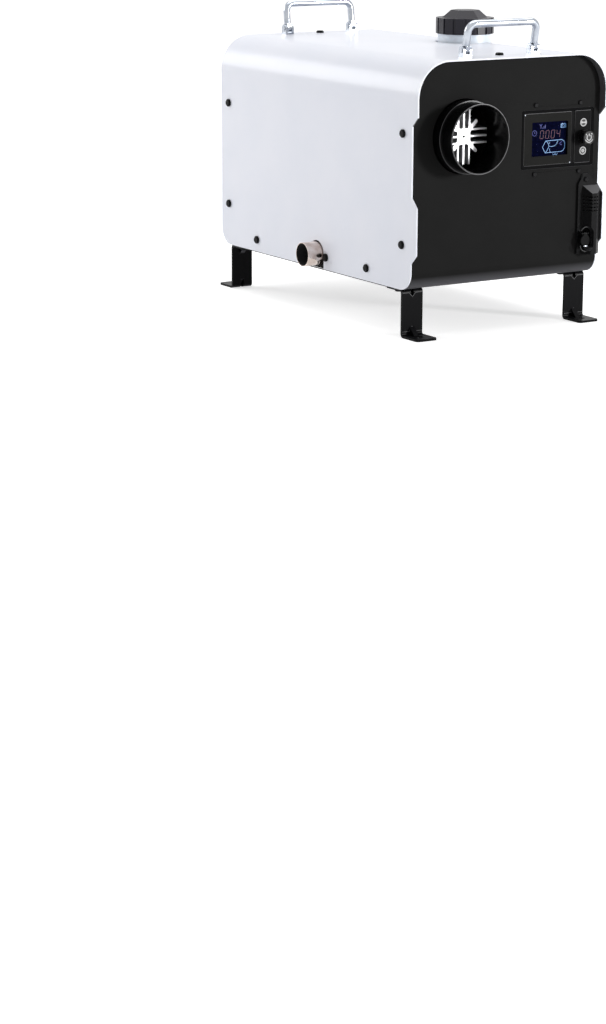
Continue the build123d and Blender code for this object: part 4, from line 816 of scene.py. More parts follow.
def fluted(radius: float, depth: float, flutes: int, steps: int) -> list[Pair]:
    """Outline of a circle with flutes.

    Args:
        radius: radius over the ridges.
        depth: depth of a flute.
        flutes: how many there are.
        steps: points round the whole outline.

    Returns:
        The points, anticlockwise from the right.
    """
    points = []
    for i in range(steps):
        a = 2 * pi * i / steps
        r = radius - depth * (0.5 - 0.5 * cos(flutes * a))
        points.append((r * cos(a), r * sin(a)))
    return points


def rounded(width: float, height: float, corner: float, middle: Pair = (0.0, 0.0)) -> list[Pair]:
    """Outline of a rectangle with rounded corners.

    Args:
        width: its width.
        height: its height.
        corner: radius of its corners.
        middle: where its middle lies.

    Returns:
        The points, anticlockwise from the right edge.
    """
    points = []
    for quarter, (side_u, side_v) in enumerate(((1, 1), (-1, 1), (-1, -1), (1, -1))):
        u = middle[0] + side_u * (width / 2 - corner)
        v = middle[1] + side_v * (height / 2 - corner)
        for step in range(7):
            a = radians(90 * quarter + 15 * step)
            points.append((u + corner * cos(a), v + corner * sin(a)))
    return points


def ring_pairs(radius: float, width: float, start: float = 0.0, turn: float = 360.0) -> list[Pair]:
    """Outline of a ring, or of an arc of one, as a strip.

    Args:
        radius: middle radius of the line.
        width: line width.
        start: where the arc begins, in degrees anticlockwise from the right.
        turn: length of the arc in degrees.

    Returns:
        Outer and inner points in turn.
    """
    steps = max(6, int(turn / 12))
    pairs = []
    for i in range(steps + 1):
        a = radians(start + turn * i / steps)
        for r in (radius + width / 2, radius - width / 2):
            pairs.append((r * cos(a), r * sin(a)))
    return pairs


def stroke(points: Sequence[Pair], width: float) -> list[Pair]:
    """Outline of a drawn line, as a strip.

    Args:
        points: where the line goes; a line whose ends meet closes.
        width: line width.

    Returns:
        Left and right points in turn.
    """
    closed = (Vector(points[0]) - Vector(points[-1])).length < 1e-6
    pairs = []
    for i, point in enumerate(points):
        before = points[i - 1] if i else points[-2] if closed else None
        after = points[i + 1] if i < len(points) - 1 else points[1] if closed else None
        ways = []
        if before is not None:
            ways.append((Vector(point) - Vector(before)).normalized())
        if after is not None:
            ways.append((Vector(after) - Vector(point)).normalized())
        along = sum(ways, Vector((0.0, 0.0))).normalized()
        across = Vector((-along.y, along.x))
        # at a corner the edges reach out farther, at most twice as far, so that the line keeps its width
        reach = width / 2 / max(0.5, along.dot(ways[0]))
        pairs.append(tuple(Vector(point) + across * reach))
        pairs.append(tuple(Vector(point) - across * reach))
    return pairs


# ---------------------------------------------------------------- meshes
@dataclass
class Mesh:
    """A mesh being put together in the model's frame, from outlines in millimetres.

    Args:
        name: name of the piece.
        body: the model's body that the piece moves with.
        finish: the finish that the piece wears.
        form: the mesh so far.
    """

    name: str
    body: str
    finish: Finish
    form: bmesh.types.BMesh = field(default_factory=bmesh.new)

    def ring(self, points: Sequence[Pair], height: float, seat: Matrix) -> Ring:
        """Adds a ring of points at a height along the seat's axis."""
        return [self.form.verts.new(seat @ (Vector((u, v, height)) * MM)) for u, v in points]

    def join(self, rings: Sequence[Ring]) -> None:
        """Skins rings of points one after another.

        Args:
            rings: the rings; one that has a single point closes the skin to a tip.
        """
        for low, high in zip(rings, rings[1:]):
            count = max(len(low), len(high))
            for i in range(count):
                corners = [low[i % len(low)], low[(i + 1) % len(low)]]
                corners += [high[(i + 1) % len(high)], high[i % len(high)]]
                unique = list(dict.fromkeys(corners))
                if len(unique) > 2:
                    self.form.faces.new(unique)

    def lathe(self, profile: Sequence[Pair], seat: Matrix, steps: int = 32) -> None:
        """Turns a profile about the seat's axis.

        Args:
            profile: radius and height of each point, one after another.
            seat: place and direction of the axis.
            steps: divisions round the axis.
        """
        rings = []
        for radius, height in profile:
            rings.append(self.ring([(0.0, 0.0)] if radius < 1e-6 else circle(radius, steps), height, seat))
        self.join(rings)

    def capped(self, levels: Sequence[tuple[Sequence[Pair], float]], seat: Matrix) -> None:
        """Skins outlines one above another, and closes both ends.

        Args:
            levels: each outline and its height.
            seat: place and direction of the axis.
        """
        tips = [self.ring([(0.0, 0.0)], levels[end][1], seat) for end in (0, -1)]
        self.join([tips[0], *(self.ring(points, height, seat) for points, height in levels), tips[1]])

    def bead(self, levels: Sequence[tuple[Sequence[Pair], float]], seat: Matrix) -> None:
        """Skins outlines one after another and back to the first, as a bead round an opening.

        Args:
            levels: each outline and its height.
            seat: place and direction of the axis.
        """
        rings = [self.ring(points, height, seat) for points, height in levels]
        self.join([*rings, rings[0]])

    def strip(self, pairs: Sequence[Pair], seat: Matrix) -> None:
        """Lays a flat strip.

        Args:
            pairs: its left and right points in turn.
            seat: the plane that it lies in.
        """
        points = self.ring(pairs, 0.0, seat)
        for i in range(0, len(points) - 2, 2):
            self.form.faces.new((points[i], points[i + 1], points[i + 3], points[i + 2]))

    def patch(self, outline: Sequence[Pair], seat: Matrix, holes: Sequence[Sequence[Pair]] = ()) -> None:
        """Lays one flat shape, with holes where it has them.

        Args:
            outline: its outer edge.
            seat: the plane that it lies in.
            holes: the edge of each hole.
        """
        edges = []
        for loop in (outline, *holes):
            points = self.ring(loop, 0.0, seat)
            edges += [self.form.edges.new((a, b)) for a, b in zip(points, points[1:] + points[:1])]
        bmesh.ops.triangle_fill(self.form, use_beauty=True, edges=edges)

    def thicken(self, seat: Matrix, depth: float) -> None:
        """Turns the flat faces laid so far into closed bodies.

        Args:
            seat: the plane that they lie in.
            depth: how far they grow along its axis.
        """
        push = (seat.to_3x3() @ Vector((0, 0, 1))).normalized() * depth * MM
        made = bmesh.ops.extrude_face_region(self.form, geom=self.form.faces[:], use_keep_orig=True)
        moved = [part for part in made["geom"] if isinstance(part, bmesh.types.BMVert)]
        bmesh.ops.translate(self.form, verts=moved, vec=push)

    def take(self, other: "Mesh") -> None:
        """Adds another mesh's form to this one, and frees the other.

        Args:
            other: the mesh that is taken over.
        """
        data = bpy.data.meshes.new("part")
        other.form.to_mesh(data)
        other.form.free()
        self.form.from_mesh(data)
        bpy.data.meshes.remove(data)

    def finished(self) -> bpy.types.Object:
        """Turns the form into an object that wears its finish and rides on its body.

        Returns:
            The new object.
        """
        bmesh.ops.recalc_face_normals(self.form, faces=self.form.faces)
        data = bpy.data.meshes.new(self.name)
        self.form.to_mesh(data)
        self.form.free()
        data.polygons.foreach_set("use_smooth", [True] * len(data.polygons))
        data.set_sharp_from_angle(angle=radians(CRISP))
        data.materials.append(self.finish.material())
        piece = bpy.data.objects.new(self.name, data)
        bpy.context.scene.collection.objects.link(piece)
        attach(piece, self.body)
        log.info("piece %s: %d faces on %s", self.name, len(data.polygons), self.body)
        return piece

    def laid(self, seat: Matrix, depth: float) -> bpy.types.Object:
        """Thickens the flat faces and finishes the piece."""
        self.thicken(seat, depth)
        return self.finished()


def dress(finish: Finish, *names: str, edge: float = 0.0) -> None:
    """Gives model nodes a finish, and rounds their edges.

    Args:
        finish: what the nodes are finished with.
        names: the nodes.
        edge: width of the edge rounding in millimetres; 0 leaves the edges as they are.
    """
    for name in names:
        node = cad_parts[name]
        node.data.materials.clear()
        node.data.materials.append(finish.material())
        if edge:
            node.data.attributes.remove(node.data.attributes["custom_normal"])
            node.data.polygons.foreach_set("use_smooth", [True] * len(node.data.polygons))
            node.modifiers.new("weld", "WELD").merge_threshold = WELD * MM
            bevel = node.modifiers.new("edge", "BEVEL")
            bevel.width = edge * MM
            bevel.segments = 2
            bevel.limit_method = "ANGLE"
            bevel.angle_limit = radians(CREASE)
            node.modifiers.new("even", "WEIGHTED_NORMAL")
        log.info("node %s wears %s", name, finish.name)


# ---------------------------------------------------------------- sub-assemblies, in millimetres
@dataclass
class Enclosure:
    """White hood, black chassis and the screws that hold them.

    Args:
        side: x of the hood's outer face.
        shade_strip_size: thickness and height of the black strip under the hood's lower edges, which paints
            their shade.
        shade_strip_half: half the length of the strip.
        shade_strip_inset: how far the strip stays behind the hood's outer face.
        shade_strip_foot: width of the strip's rounded foot, as a share of its thickness, and its height.
    """

    side: float = 125.0
    shade_strip_size: Pair = (1.3, 0.9)
    shade_strip_half: float = 160.0
    shade_strip_inset: float = 0.2
    shade_strip_foot: Pair = (0.7, 0.25)

    def build(self) -> None:
        """Dresses the sheet-metal parts and lays the painted shade under the hood's lower edges."""
        self.lay_edge_shade()
        dress(WHITE_COVER, "cover")
        dress(BLACK_CHASSIS, "chassis", edge=0.3)
        dress(BLACK_SCREWS, "cover_screws", edge=0.35)

    def lay_edge_shade(self) -> None:
        """Lays a black strip under both of the hood's lower edges: painted shade along them."""
        thick, tall = self.shade_strip_size
        share, foot = self.shade_strip_foot
        outline = rounded(thick, 2 * self.shade_strip_half, 0.4)
        narrow = [(u * share, v) for u, v in outline]
        shade_strip = Mesh("hood_edge_shade", "housing", GAP_SHADE_BLACK)
        for end in (-1, 1):
            seat = Matrix.Translation(at(end * (self.side - self.shade_strip_inset - thick / 2), 0.0, -tall))
            shade_strip.capped([(narrow, 0.0), (outline, foot), (outline, tall)], seat)
        shade_strip.finished()


@dataclass
class Legs:
    """Four bent brackets with their bolts.

    Args:
        places: middle of each bracket, x, and its end of the case, -1 at the front.
        web: y of the outer face of the web.
        width: width of the bracket.
        top_bend: h where the upper bend runs out into the web.
        foot_bend: h where the lower bend runs out into the web.
        dart: half width and depth of the pressed dart in the upper bend.
        dart_slot: half width of the dart's slot and h of its lower end.
        dart_floor: thickness of the floor that closes the slot.
        rib: outline of the rib pressed into the lower bend, from the bend up.
        line: width of a painted highlight line along a bend, its thickness and how far it stands off the
            web.
    """

    places: tuple[Pair, ...] = ((-109.5, -1), (109.5, -1), (-109.5, 1), (109.5, 1))
    web: float = 184.0
    width: float = 27.0
    top_bend: float = -4.3
    foot_bend: float = -46.6
    dart: Pair = (4.4, 4.4)
    dart_slot: Pair = (2.0, -11.6)
    dart_floor: float = 0.1
    rib: tuple[Pair, ...] = ((-3.3, 0.0), (-2.9, 2.8), (0.0, 5.4), (2.9, 2.8), (3.3, 0.0))
    line: Triple = (0.5, 0.12, 0.05)

    def build(self) -> None:
        """Dresses the brackets and the fasteners, and adds the painted highlights along the bends and the
        floors of the pressed darts.
        """
        self.paint_bend_highlights()
        self.floor_darts()
        dress(BLACK_LEGS, "leg_front_left", "leg_front_right", "leg_rear_left", "leg_rear_right", edge=0.5)
        dress(BLACK_SCREWS, "leg_screws")
        dress(GALVANISED, "leg_nuts")

    def web_seat(self, x: float, end: float, lift: float) -> Matrix:
        """Finds the plane of a web's outer face, with v as h.

        Args:
            x: middle of the bracket.
            end: its end of the case, -1 at the front.
            lift: how far the plane stands off the face.

        Returns:
            The plane, its axis pointing away from the case.
        """
        if end < 0:
            return front_seat(x, -self.web - lift, 0.0)
        return Matrix.Rotation(pi, 4, "Z") @ front_seat(-x, -self.web - lift, 0.0)

    def paint_bend_highlights(self) -> None:
        """Lays the painted highlight lines along the bends, round the darts and round the ribs."""
        half, deep = self.dart
        # the lines stop just short of the bracket's edges
        edge = self.width / 2 - 0.5
        upper = ((-edge, 0.0), (-half, 0.0), (0.0, -deep), (half, 0.0), (edge, 0.0))
        lower = ((-edge, 0.0), *self.rib, (edge, 0.0))
        width, thickness, lift = self.line
        highlight_lines = Mesh("leg_bend_highlights", "housing", BEND_HIGHLIGHT_PAINT)
        for x, end in self.places:
            seat = self.web_seat(x, end, lift)
            lines = Mesh("part", "housing", BEND_HIGHLIGHT_PAINT)
            for line, bend in ((upper, self.top_bend), (lower, self.foot_bend)):
                lines.strip(stroke([(u, v + bend) for u, v in line], width), seat)
            lines.thicken(seat, thickness)
            highlight_lines.take(lines)
        highlight_lines.finished()

    def floor_darts(self) -> None:
        """Closes the slot of each upper dart with the pressed floor behind it."""
        wide, low = self.dart_slot
        top = self.top_bend - self.dart[1]
        floor = [(-wide, low), (wide, low), (wide, top + wide), (0.0, top), (-wide, top + wide)]
        floors = Mesh("leg_darts", "housing", BLACK_LEGS)
        for x, end in self.places:
            seat = self.web_seat(x, end, 0.0)
            plug = Mesh("part", "housing", BLACK_LEGS)
            plug.patch(floor, seat)
            plug.thicken(seat, self.dart_floor)
            floors.take(plug)
        floors.finished()


@dataclass
class Handles:
    """Two folding handles of bent rod in their clevises."""

    def build(self) -> None:
        """Dresses the rods, clevises, pins and nuts."""
        dress(BRIGHT_ZINC, "handle_front", "handle_rear", "handle_lugs", "handle_pins", edge=0.4)
        dress(GALVANISED, "handle_nuts")


@dataclass
class HeaterCore:
    """Hot-air outlet, finned casting, blower and the rest of the heater core.

    Args:
        hub: x, y and h of the middle of the casting's front hub.
        centre: radius and h of each point of the dark disc in the hub's middle, which stands just proud:
            painted shade of the hub's centre hole.
    """

    hub: Triple = (-58.3, -202.0, 162.6)
    centre: tuple[Pair, ...] = ((0.0, 0.0), (1.5, 0.0), (1.5, 0.15), (1.1, 0.3), (0.0, 0.1))

    def build(self) -> None:
        """Dresses the core from the outlet back to the intake."""
        dress(DUCT_NYLON, "duct_outlet", edge=0.3)
        dress(CAST_CORE, "heat_exchanger", "blower_housing")
        dress(INNER_PLASTIC, "core_case_upper", "core_case_lower", "control_unit")
        dress(INNER_PLASTIC, "burner_wheel", "air_impeller")
        dress(SMALL_STEEL, "burner", "glow_plug", "rotor_shaft", "overheat_sensor")
        dress(GALVANISED, "motor", "heater_shelf", "shelf_screws", "exhaust_clamp")
        dress(CASE_GASKET, "base_gasket")
        dress(EXHAUST_STEEL, "exhaust_pipe")
        dress(HOSE_RUBBER, "burner_air_pipe")
        dress(INNER_PLASTIC, "burner_air_silencer", "intake_grille")
        dress(BLACK_SCREWS, "grille_screws")
        # a black disc where the hub has a small hole: painted shade of the hole
        centre = Mesh("hub_hole_shade", "housing", BLACK_SCREWS)
        centre.lathe(self.centre, front_seat(*self.hub), 20)
        centre.finished()


@dataclass
class FuelSystem:
    """Tank with its neck and cap, filter, pump and hoses."""

    def build(self) -> None:
        """Dresses the fuel parts."""
        dress(TANK_WHITE, "fuel_tank", "fuel_filter")
        dress(GALVANISED, "tank_strap", "fuel_pump")
        dress(CAP_POLYETHYLENE, "fuel_cap", edge=0.6)
        dress(HOSE_RUBBER, "cap_liner", "pump_mount", "tank_hose", "suction_hose", "pressure_hose")


@dataclass
class Controller:
    """Panel with a display, two buttons and a knob.

    Args:
        middle: middle of the panel, x and h.
        face: y of the panel's face.
        panel: width and height of the panel.
        window: middle of the window, x and h.
        window_size: width and height of the window.
        surround: width and height of the plate round the window.
        surround_middle: middle of that plate, x and h.
        surround_border: from that plate's outer line in to where its flat part ends.
        surround_pin: from the plate's outer lines to the middle of a corner pin.
        window_overlap: how far the plate reaches over the window's border.
        plates: thickness of the plate round the window and of the one that carries the controls.
        control_left: x where the plate that carries the controls begins.
        control_margin: from the panel's outer line to that plate.
        control_border: from that plate's outer line in to where its flat part ends.
        control_bores: radius of its bore for the knob and for a button.
        control_x: x of the knob and the buttons.
        button_offset: from the knob to each button.
        button_face: y of the buttons' faces.
        button_ring: radius and width of the ring printed on a button.
        knob_face: y of the knob's face.
        knob_rear: y of the knob's rear face.
        knob_hollow: depth of the hollow in the knob's face, where its signs are printed.
    """

    middle: Pair = (67.0, 153.5)
    face: float = -201.6
    panel: Pair = (96.0, 62.0)
    window: Pair = (56.8, 153.6)
    window_size: Pair = (49.0, 37.5)
    surround: Pair = (64.6, 57.0)
    surround_middle: Pair = (53.6, 153.5)
    surround_border: float = 0.8
    surround_pin: float = 1.3
    window_overlap: float = 0.2
    plates: Pair = (0.35, 0.3)
    control_left: float = 90.0
    control_margin: float = 2.2
    control_border: float = 0.7
    control_bores: Pair = (5.0, 5.1)
    control_x: float = 102.0
    button_offset: float = 15.5
    button_face: float = -202.3
    button_ring: Pair = (3.95, 1.05)
    knob_face: float = -213.5
    knob_rear: float = -202.6
    knob_hollow: float = 0.35

    def build(self) -> None:
        """Dresses the controller's parts and adds the painted shade in its gap, plates, prints and knob."""
        dress(BEZEL_ABS, "controller_bezel", edge=0.25)
        dress(WINDOW_ACRYLIC, "controller_window")
        dress(DISPLAY_PANEL, "controller_display")
        dress(GREEN_BOARD, "controller_board")
        dress(BUTTON_ABS, "button_upper", "button_lower", edge=0.3)
        dress(GALVANISED, "encoder_plunger", "knob_shaft")
        dress(BLACK_SCREWS, "front_screws")
        self.lay_gap_shade()
        self.lay_surround()
        self.lay_control_plate()
        Display(self.window).build()
        self.print_buttons()
        self.turn_knob()
        self.print_knob()

    def lay_gap_shade(self) -> None:
        """Lays a black bead in the gap round the panel, with its lip on the panel's border: painted shade of
        the gap.
        """
        width, height = self.panel
        levels = []
        # inset from the panel's outer line, and height, of each line of the painted gap shade
        for inset, lift in ((0.0, 0.02), (-0.7, 0.3), (0.1, 0.8), (1.4, 0.6), (2.0, 0.02)):
            levels.append((rounded(width - 2 * inset, height - 2 * inset, 2.6 - 0.3 * inset), lift))
        gap_shade = Mesh("panel_gap_shade", "housing", GAP_SHADE_BLACK)
        gap_shade.bead(levels, front_seat(self.middle[0], self.face, self.middle[1]))
        gap_shade.finished()

    def lay_edge(self, name: str, size: Pair, middle: Pair, width: float, lift: float) -> None:
        """Lays a polished bead along a plate's border; its upward faces carry a painted highlight.

        Args:
            name: name of the piece.
            size: width and height of the plate.
            middle: middle of the plate, x and h.
            width: width of the bead.
            lift: height of the bead over the panel's face.
        """
        # inset from the plate's outer line, and height, of each line of the bead
        profile = ((0.0, 0.02), (0.1, lift - 0.1), (width * 0.4, lift), (width, lift - 0.15), (width, 0.02))
        levels = []
        for inset, height in profile:
            levels.append((rounded(size[0] - 2 * inset, size[1] - 2 * inset, 1.6 - inset), height))
        edge = Mesh(name, "housing", EDGE_ABS)
        edge.bead(levels, front_seat(middle[0], self.face, middle[1]))
        edge.finished()

    def lay_surround(self) -> None:
        """Lays the plate round the window, with its edge bead, whose upward faces carry a painted highlight,
        and its two corner pins.
        """
        x, h = self.surround_middle
        width, height = self.surround
        shift = (self.window[0] - x, self.window[1] - h)
        hole = rounded(*(size - 2 * self.window_overlap for size in self.window_size), 0.6, shift)
        flat = rounded(*(size - 2 * self.surround_border for size in self.surround), 1.2)
        seat = front_seat(x, self.face - CLEARANCE, h)
        plate = Mesh("display_surround", "housing", SURROUND_ABS)
        plate.patch(flat, seat, (hole,))
        plate.laid(seat, self.plates[0])
        self.lay_edge("surround_edge", self.surround, self.surround_middle, 0.75, 0.55)
        pins = Mesh("surround_pins", "housing", BRIGHT_ZINC)
        across, down = width / 2 - self.surround_pin, height / 2 - self.surround_pin
        for side in (-1, 1):
            seat = front_seat(x + side * across, self.face - 0.3, h - side * down)
            pins.lathe(((0.0, 0.0), (0.85, 0.0), (0.8, 0.25), (0.45, 0.5), (0.0, 0.55)), seat, 16)
        pins.finished()

    def lay_control_plate(self) -> None:
        """Lays the plate that carries the buttons and the knob, with its edge."""
        right = self.middle[0] + self.panel[0] / 2 - self.control_margin
        middle = ((self.control_left + right) / 2, self.middle[1])
        size = (right - self.control_left, self.panel[1] - 2 * self.control_margin)
        shift = self.control_x - middle[0]
        shaft, button = self.control_bores
        bores = ((0.0, shaft), (self.button_offset, button), (-self.button_offset, button))
        holes = [[(u + shift, v + offset) for u, v in circle(radius)] for offset, radius in bores]
        seat = front_seat(middle[0], self.face - CLEARANCE, middle[1])
        plate = Mesh("control_plate", "housing", BEZEL_ABS)
        flat = rounded(size[0] - 2 * self.control_border, size[1] - 2 * self.control_border, 1.0)
        plate.patch(flat, seat, holes)
        plate.laid(seat, self.plates[1])
        self.lay_edge("control_edge", size, middle, 0.65, 0.5)

    def print_buttons(self) -> None:
        """Prints a white ring and a sign on each button: a bow tie above and a wheel below."""
        tie = [(-3.3, 1.5), (0.0, 0.5), (3.3, 1.5), (3.3, -1.5), (0.0, -0.5), (-3.3, -1.5)]
        wheel = []
        for i in range(24):
            r = 2.3 if i % 4 < 2 else 1.5
            wheel.append((r * cos(2 * pi * i / 24), r * sin(2 * pi * i / 24)))
        hub = [(0.55 * u, 0.55 * v) for u, v in circle(1.0, 12)]
        for name, side, sign, holes in (("button_upper", 1, tie, ()), ("button_lower", -1, wheel, (hub,))):
            h = self.middle[1] + side * self.button_offset
            seat = front_seat(self.control_x, self.button_face - CLEARANCE, h)
            marks = Mesh(f"{name}_print", name, WHITE_PRINT)
            marks.strip(ring_pairs(*self.button_ring), seat)
            marks.patch(sign, seat, holes)
            marks.laid(seat, FILM)

    def turn_knob(self) -> None:
        """Makes the fluted push-and-turn knob in place of the plain one, with a paler ring on the rim of its
        face as a painted highlight.
        """
        reach = self.knob_rear - self.knob_face
        seat = front_seat(self.control_x, self.knob_rear, self.middle[1])
        # radius, depth of the flutes and height of each level
        shape = ((7.4, 0.0, 0.0), (7.8, 0.0, 0.3), (8.0, 0.0, 0.9), (8.0, 0.0, 1.5), (8.0, 0.4, 1.9))
        shape += ((8.0, 0.4, reach - 1.3), (7.8, 0.2, reach - 0.7), (7.4, 0.0, reach - 0.15))
        shape += ((7.0, 0.0, reach), (6.7, 0.0, reach - 0.1), (6.5, 0.0, reach - self.knob_hollow))
        knob = Mesh("knob_grip", "knob", BUTTON_ABS)
        knob.capped([(fluted(radius, depth, 24, 144), height) for radius, depth, height in shape], seat)
        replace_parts(knob.finished(), "power_knob")
        # the rim ring is paler than the knob: a painted highlight round the face's edge
        # radius and height of the rim's first lines
        profile = ((7.5, reach - 0.42), (7.65, reach - 0.3), (7.3, reach), (7.0, reach - 0.02))
        rim = Mesh("knob_rim_highlight", "knob", SURROUND_ABS)
        rim.lathe((*profile, (7.1, reach - 0.4), profile[0]), seat, 48)
        rim.finished()

    def print_knob(self) -> None:
        """Prints the white signs in the hollow of the knob's face: broken ring, bar, arc and two dots."""
        seat = front_seat(self.control_x, self.knob_face + self.knob_hollow - CLEARANCE, self.middle[1])
        signs = Mesh("knob_print", "knob", WHITE_PRINT)
        signs.strip(ring_pairs(3.0, 1.1, 125, 290), seat)
        signs.strip(stroke(((0.0, 1.4), (0.0, 4.2)), 1.1), seat)
        signs.strip(ring_pairs(5.3, 1.0, 205, 130), seat)
        for angle in (140, 48):
            u, v = 5.2 * cos(radians(angle)), 5.2 * sin(radians(angle))
            signs.patch([(u + a, v + b) for a, b in circle(0.75, 10)], seat)
        signs.laid(seat, FILM)


@dataclass
class Display:
    """Colour masks of the display's signs; their points are counted from the masks' middle.

    Args:
        window: middle of the window, x and h.
        shift: from the window's middle to the masks' middle.
        face: y of the display's face.
        timer: middle of the timer's dial.
        battery: left, right, lower and upper line of the battery.
        digit: width and height of a digit.
        digit_lean: how far a digit's top leans to the right.
        digits_start: foot of the first digit's left side.
        digit_pitch: from one digit to the next.
        flame: middle of the flame.
    """

    window: Pair
    shift: Pair = (1.5, -0.7)
    face: float = -198.4
    timer: Pair = (-20.1, 7.2)
    battery: tuple[float, float, float, float] = (15.8, 22.2, 11.9, 15.3)
    digit: Pair = (4.3, 8.6)
    digit_lean: float = 0.9
    digits_start: Pair = (-12.8, 0.9)
    digit_pitch: float = 7.5
    flame: Pair = (15.6, -5.6)

    def build(self) -> None:
        """Lays all the masks."""
        self.show_symbols()
        self.show_battery()
        self.show_digits()
        self.show_heater()

    def lay_mask(self, name: str, ink: Finish, layer: int, strips: Sequence[Sequence[Pair]]) -> None:
        """Lays one mask.

        Args:
            name: name of the piece.
            ink: what the mask is made of.
            layer: the layer that it lies in, counted outwards from the display's face.
            strips: its lines as strips.
        """
        x, h = self.window[0] + self.shift[0], self.window[1] + self.shift[1]
        seat = front_seat(x, self.face - MASK_GAP - MASK_STEP * layer, h)
        mask = Mesh(name, "housing", ink)
        for strip in strips:
            mask.strip(strip, seat)
        mask.laid(seat, FILM)

    def show_symbols(self) -> None:
        """Lays the aerial, the three bars of reception and the timer's dial with its hands."""
        x, h = self.timer
        strips = [stroke(((-13.4, 16.8), (-11.5, 14.4), (-9.6, 16.8)), 0.5)]
        strips.append(stroke(((-11.5, 16.8), (-11.5, 11.8)), 0.6))
        for i in range(3):
            strips.append(stroke(((-9.2 + 1.7 * i, 11.8), (-9.2 + 1.7 * i, 12.8 + 1.5 * i)), 0.7))
        strips.append([(u + x, v + h) for u, v in ring_pairs(2.9, 0.45)])
        strips.append(stroke(((x, h + 1.6), (x, h), (x + 1.1, h - 0.5)), 0.45))
        self.lay_mask("display_symbols", INK_BLUE, 0, strips)

    def show_battery(self) -> None:
        """Lays the battery with its two posts and their signs."""
        left, right, low, high = self.battery
        strips = [stroke(((left, low), (right, low), (right, high), (left, high), (left, low)), 0.8)]
        for u in (left + 1.6, right - 1.6):
            strips.append(stroke(((u, high + 0.3), (u, high + 1.1)), 1.1))
            strips.append(stroke(((u - 0.8, low + 1.7), (u + 0.8, low + 1.7)), 0.6))
        self.lay_mask("display_battery", INK_SKY, 0, strips)

    def show_digits(self) -> None:
        """Lays four digits of seven bars each, three naughts and a four."""
        wide, tall = self.digit
        heights = {"top": tall, "middle": tall / 2, "low": 0.0}
        bars = {
            "a": ((0.0, "top"), (wide, "top")),
            "b": ((wide, "middle"), (wide, "top")),
            "c": ((wide, "low"), (wide, "middle")),
            "d": ((0.0, "low"), (wide, "low")),
            "e": ((0.0, "low"), (0.0, "middle")),
            "f": ((0.0, "middle"), (0.0, "top")),
            "g": ((0.0, "middle"), (wide, "middle")),
        }
        strips = []
        for count, lit in enumerate(("abcdef", "abcdef", "abcdef", "bcfg")):
            left = self.digits_start[0] + self.digit_pitch * count
            for bar in lit:
                ends = []
                for u, level in bars[bar]:
                    v = heights[level]
                    ends.append(Vector((left + u + self.digit_lean * v / tall, self.digits_start[1] + v)))
                # each bar stops a little short of its ends, so that the bars stay apart
                short = (ends[1] - ends[0]).normalized() * 0.35
                strips.append(stroke((tuple(ends[0] + short), tuple(ends[1] - short)), 0.5))
        self.lay_mask("display_digits", INK_RED, 1, strips)

    def show_heater(self) -> None:
        """Lays the outline of a heater, a tube seen from its open end, with its flue, feet and flame."""
        case = [(-4.6, -1.9), (17.0, -1.5), (20.0, -2.9), (21.2, -5.4), (21.2, -10.6), (19.6, -13.1)]
        case += [(16.6, -14.5), (-5.2, -14.9), (-8.9, -8.6), (-4.6, -1.9)]
        mouth = ((-4.6, -1.9), (-2.0, -3.6), (-0.1, -8.0), (-2.6, -12.4), (-5.2, -14.9))
        flue = ((-0.3, -8.0), (3.4, -8.3), (7.2, -8.0), (9.8, -6.2), (12.0, -2.2))
        ends = ((0.5, -10.6), (0.9, -12.6), (1.9, -14.4)), ((0.4, -3.6), (0.7, -5.4))
        strips = [stroke(case, 0.65), stroke(mouth, 0.6), stroke(flue, 0.55)]
        strips += [stroke(line, 0.6) for line in ends]
        for u in (5.2, 8.4):
            foot = ((u, -16.2), (u + 0.5, -17.4), (u + 1.6, -17.8), (u + 2.7, -17.2), (u + 3.1, -16.2))
            strips.append(stroke(foot, 0.5))
        self.lay_mask("display_heater", INK_SKY, 2, strips)
        u, v = self.flame
        tongues = []
        for side in (-1, 1):
            tongue = ((u - 1.2, v), (u + side * 0.3, v + side * 1.2), (u + 1.6, v + side * 1.7))
            tongues.append(stroke(tongue, 0.7))
        self.lay_mask("display_flame", INK_BLUE, 2, tongues)


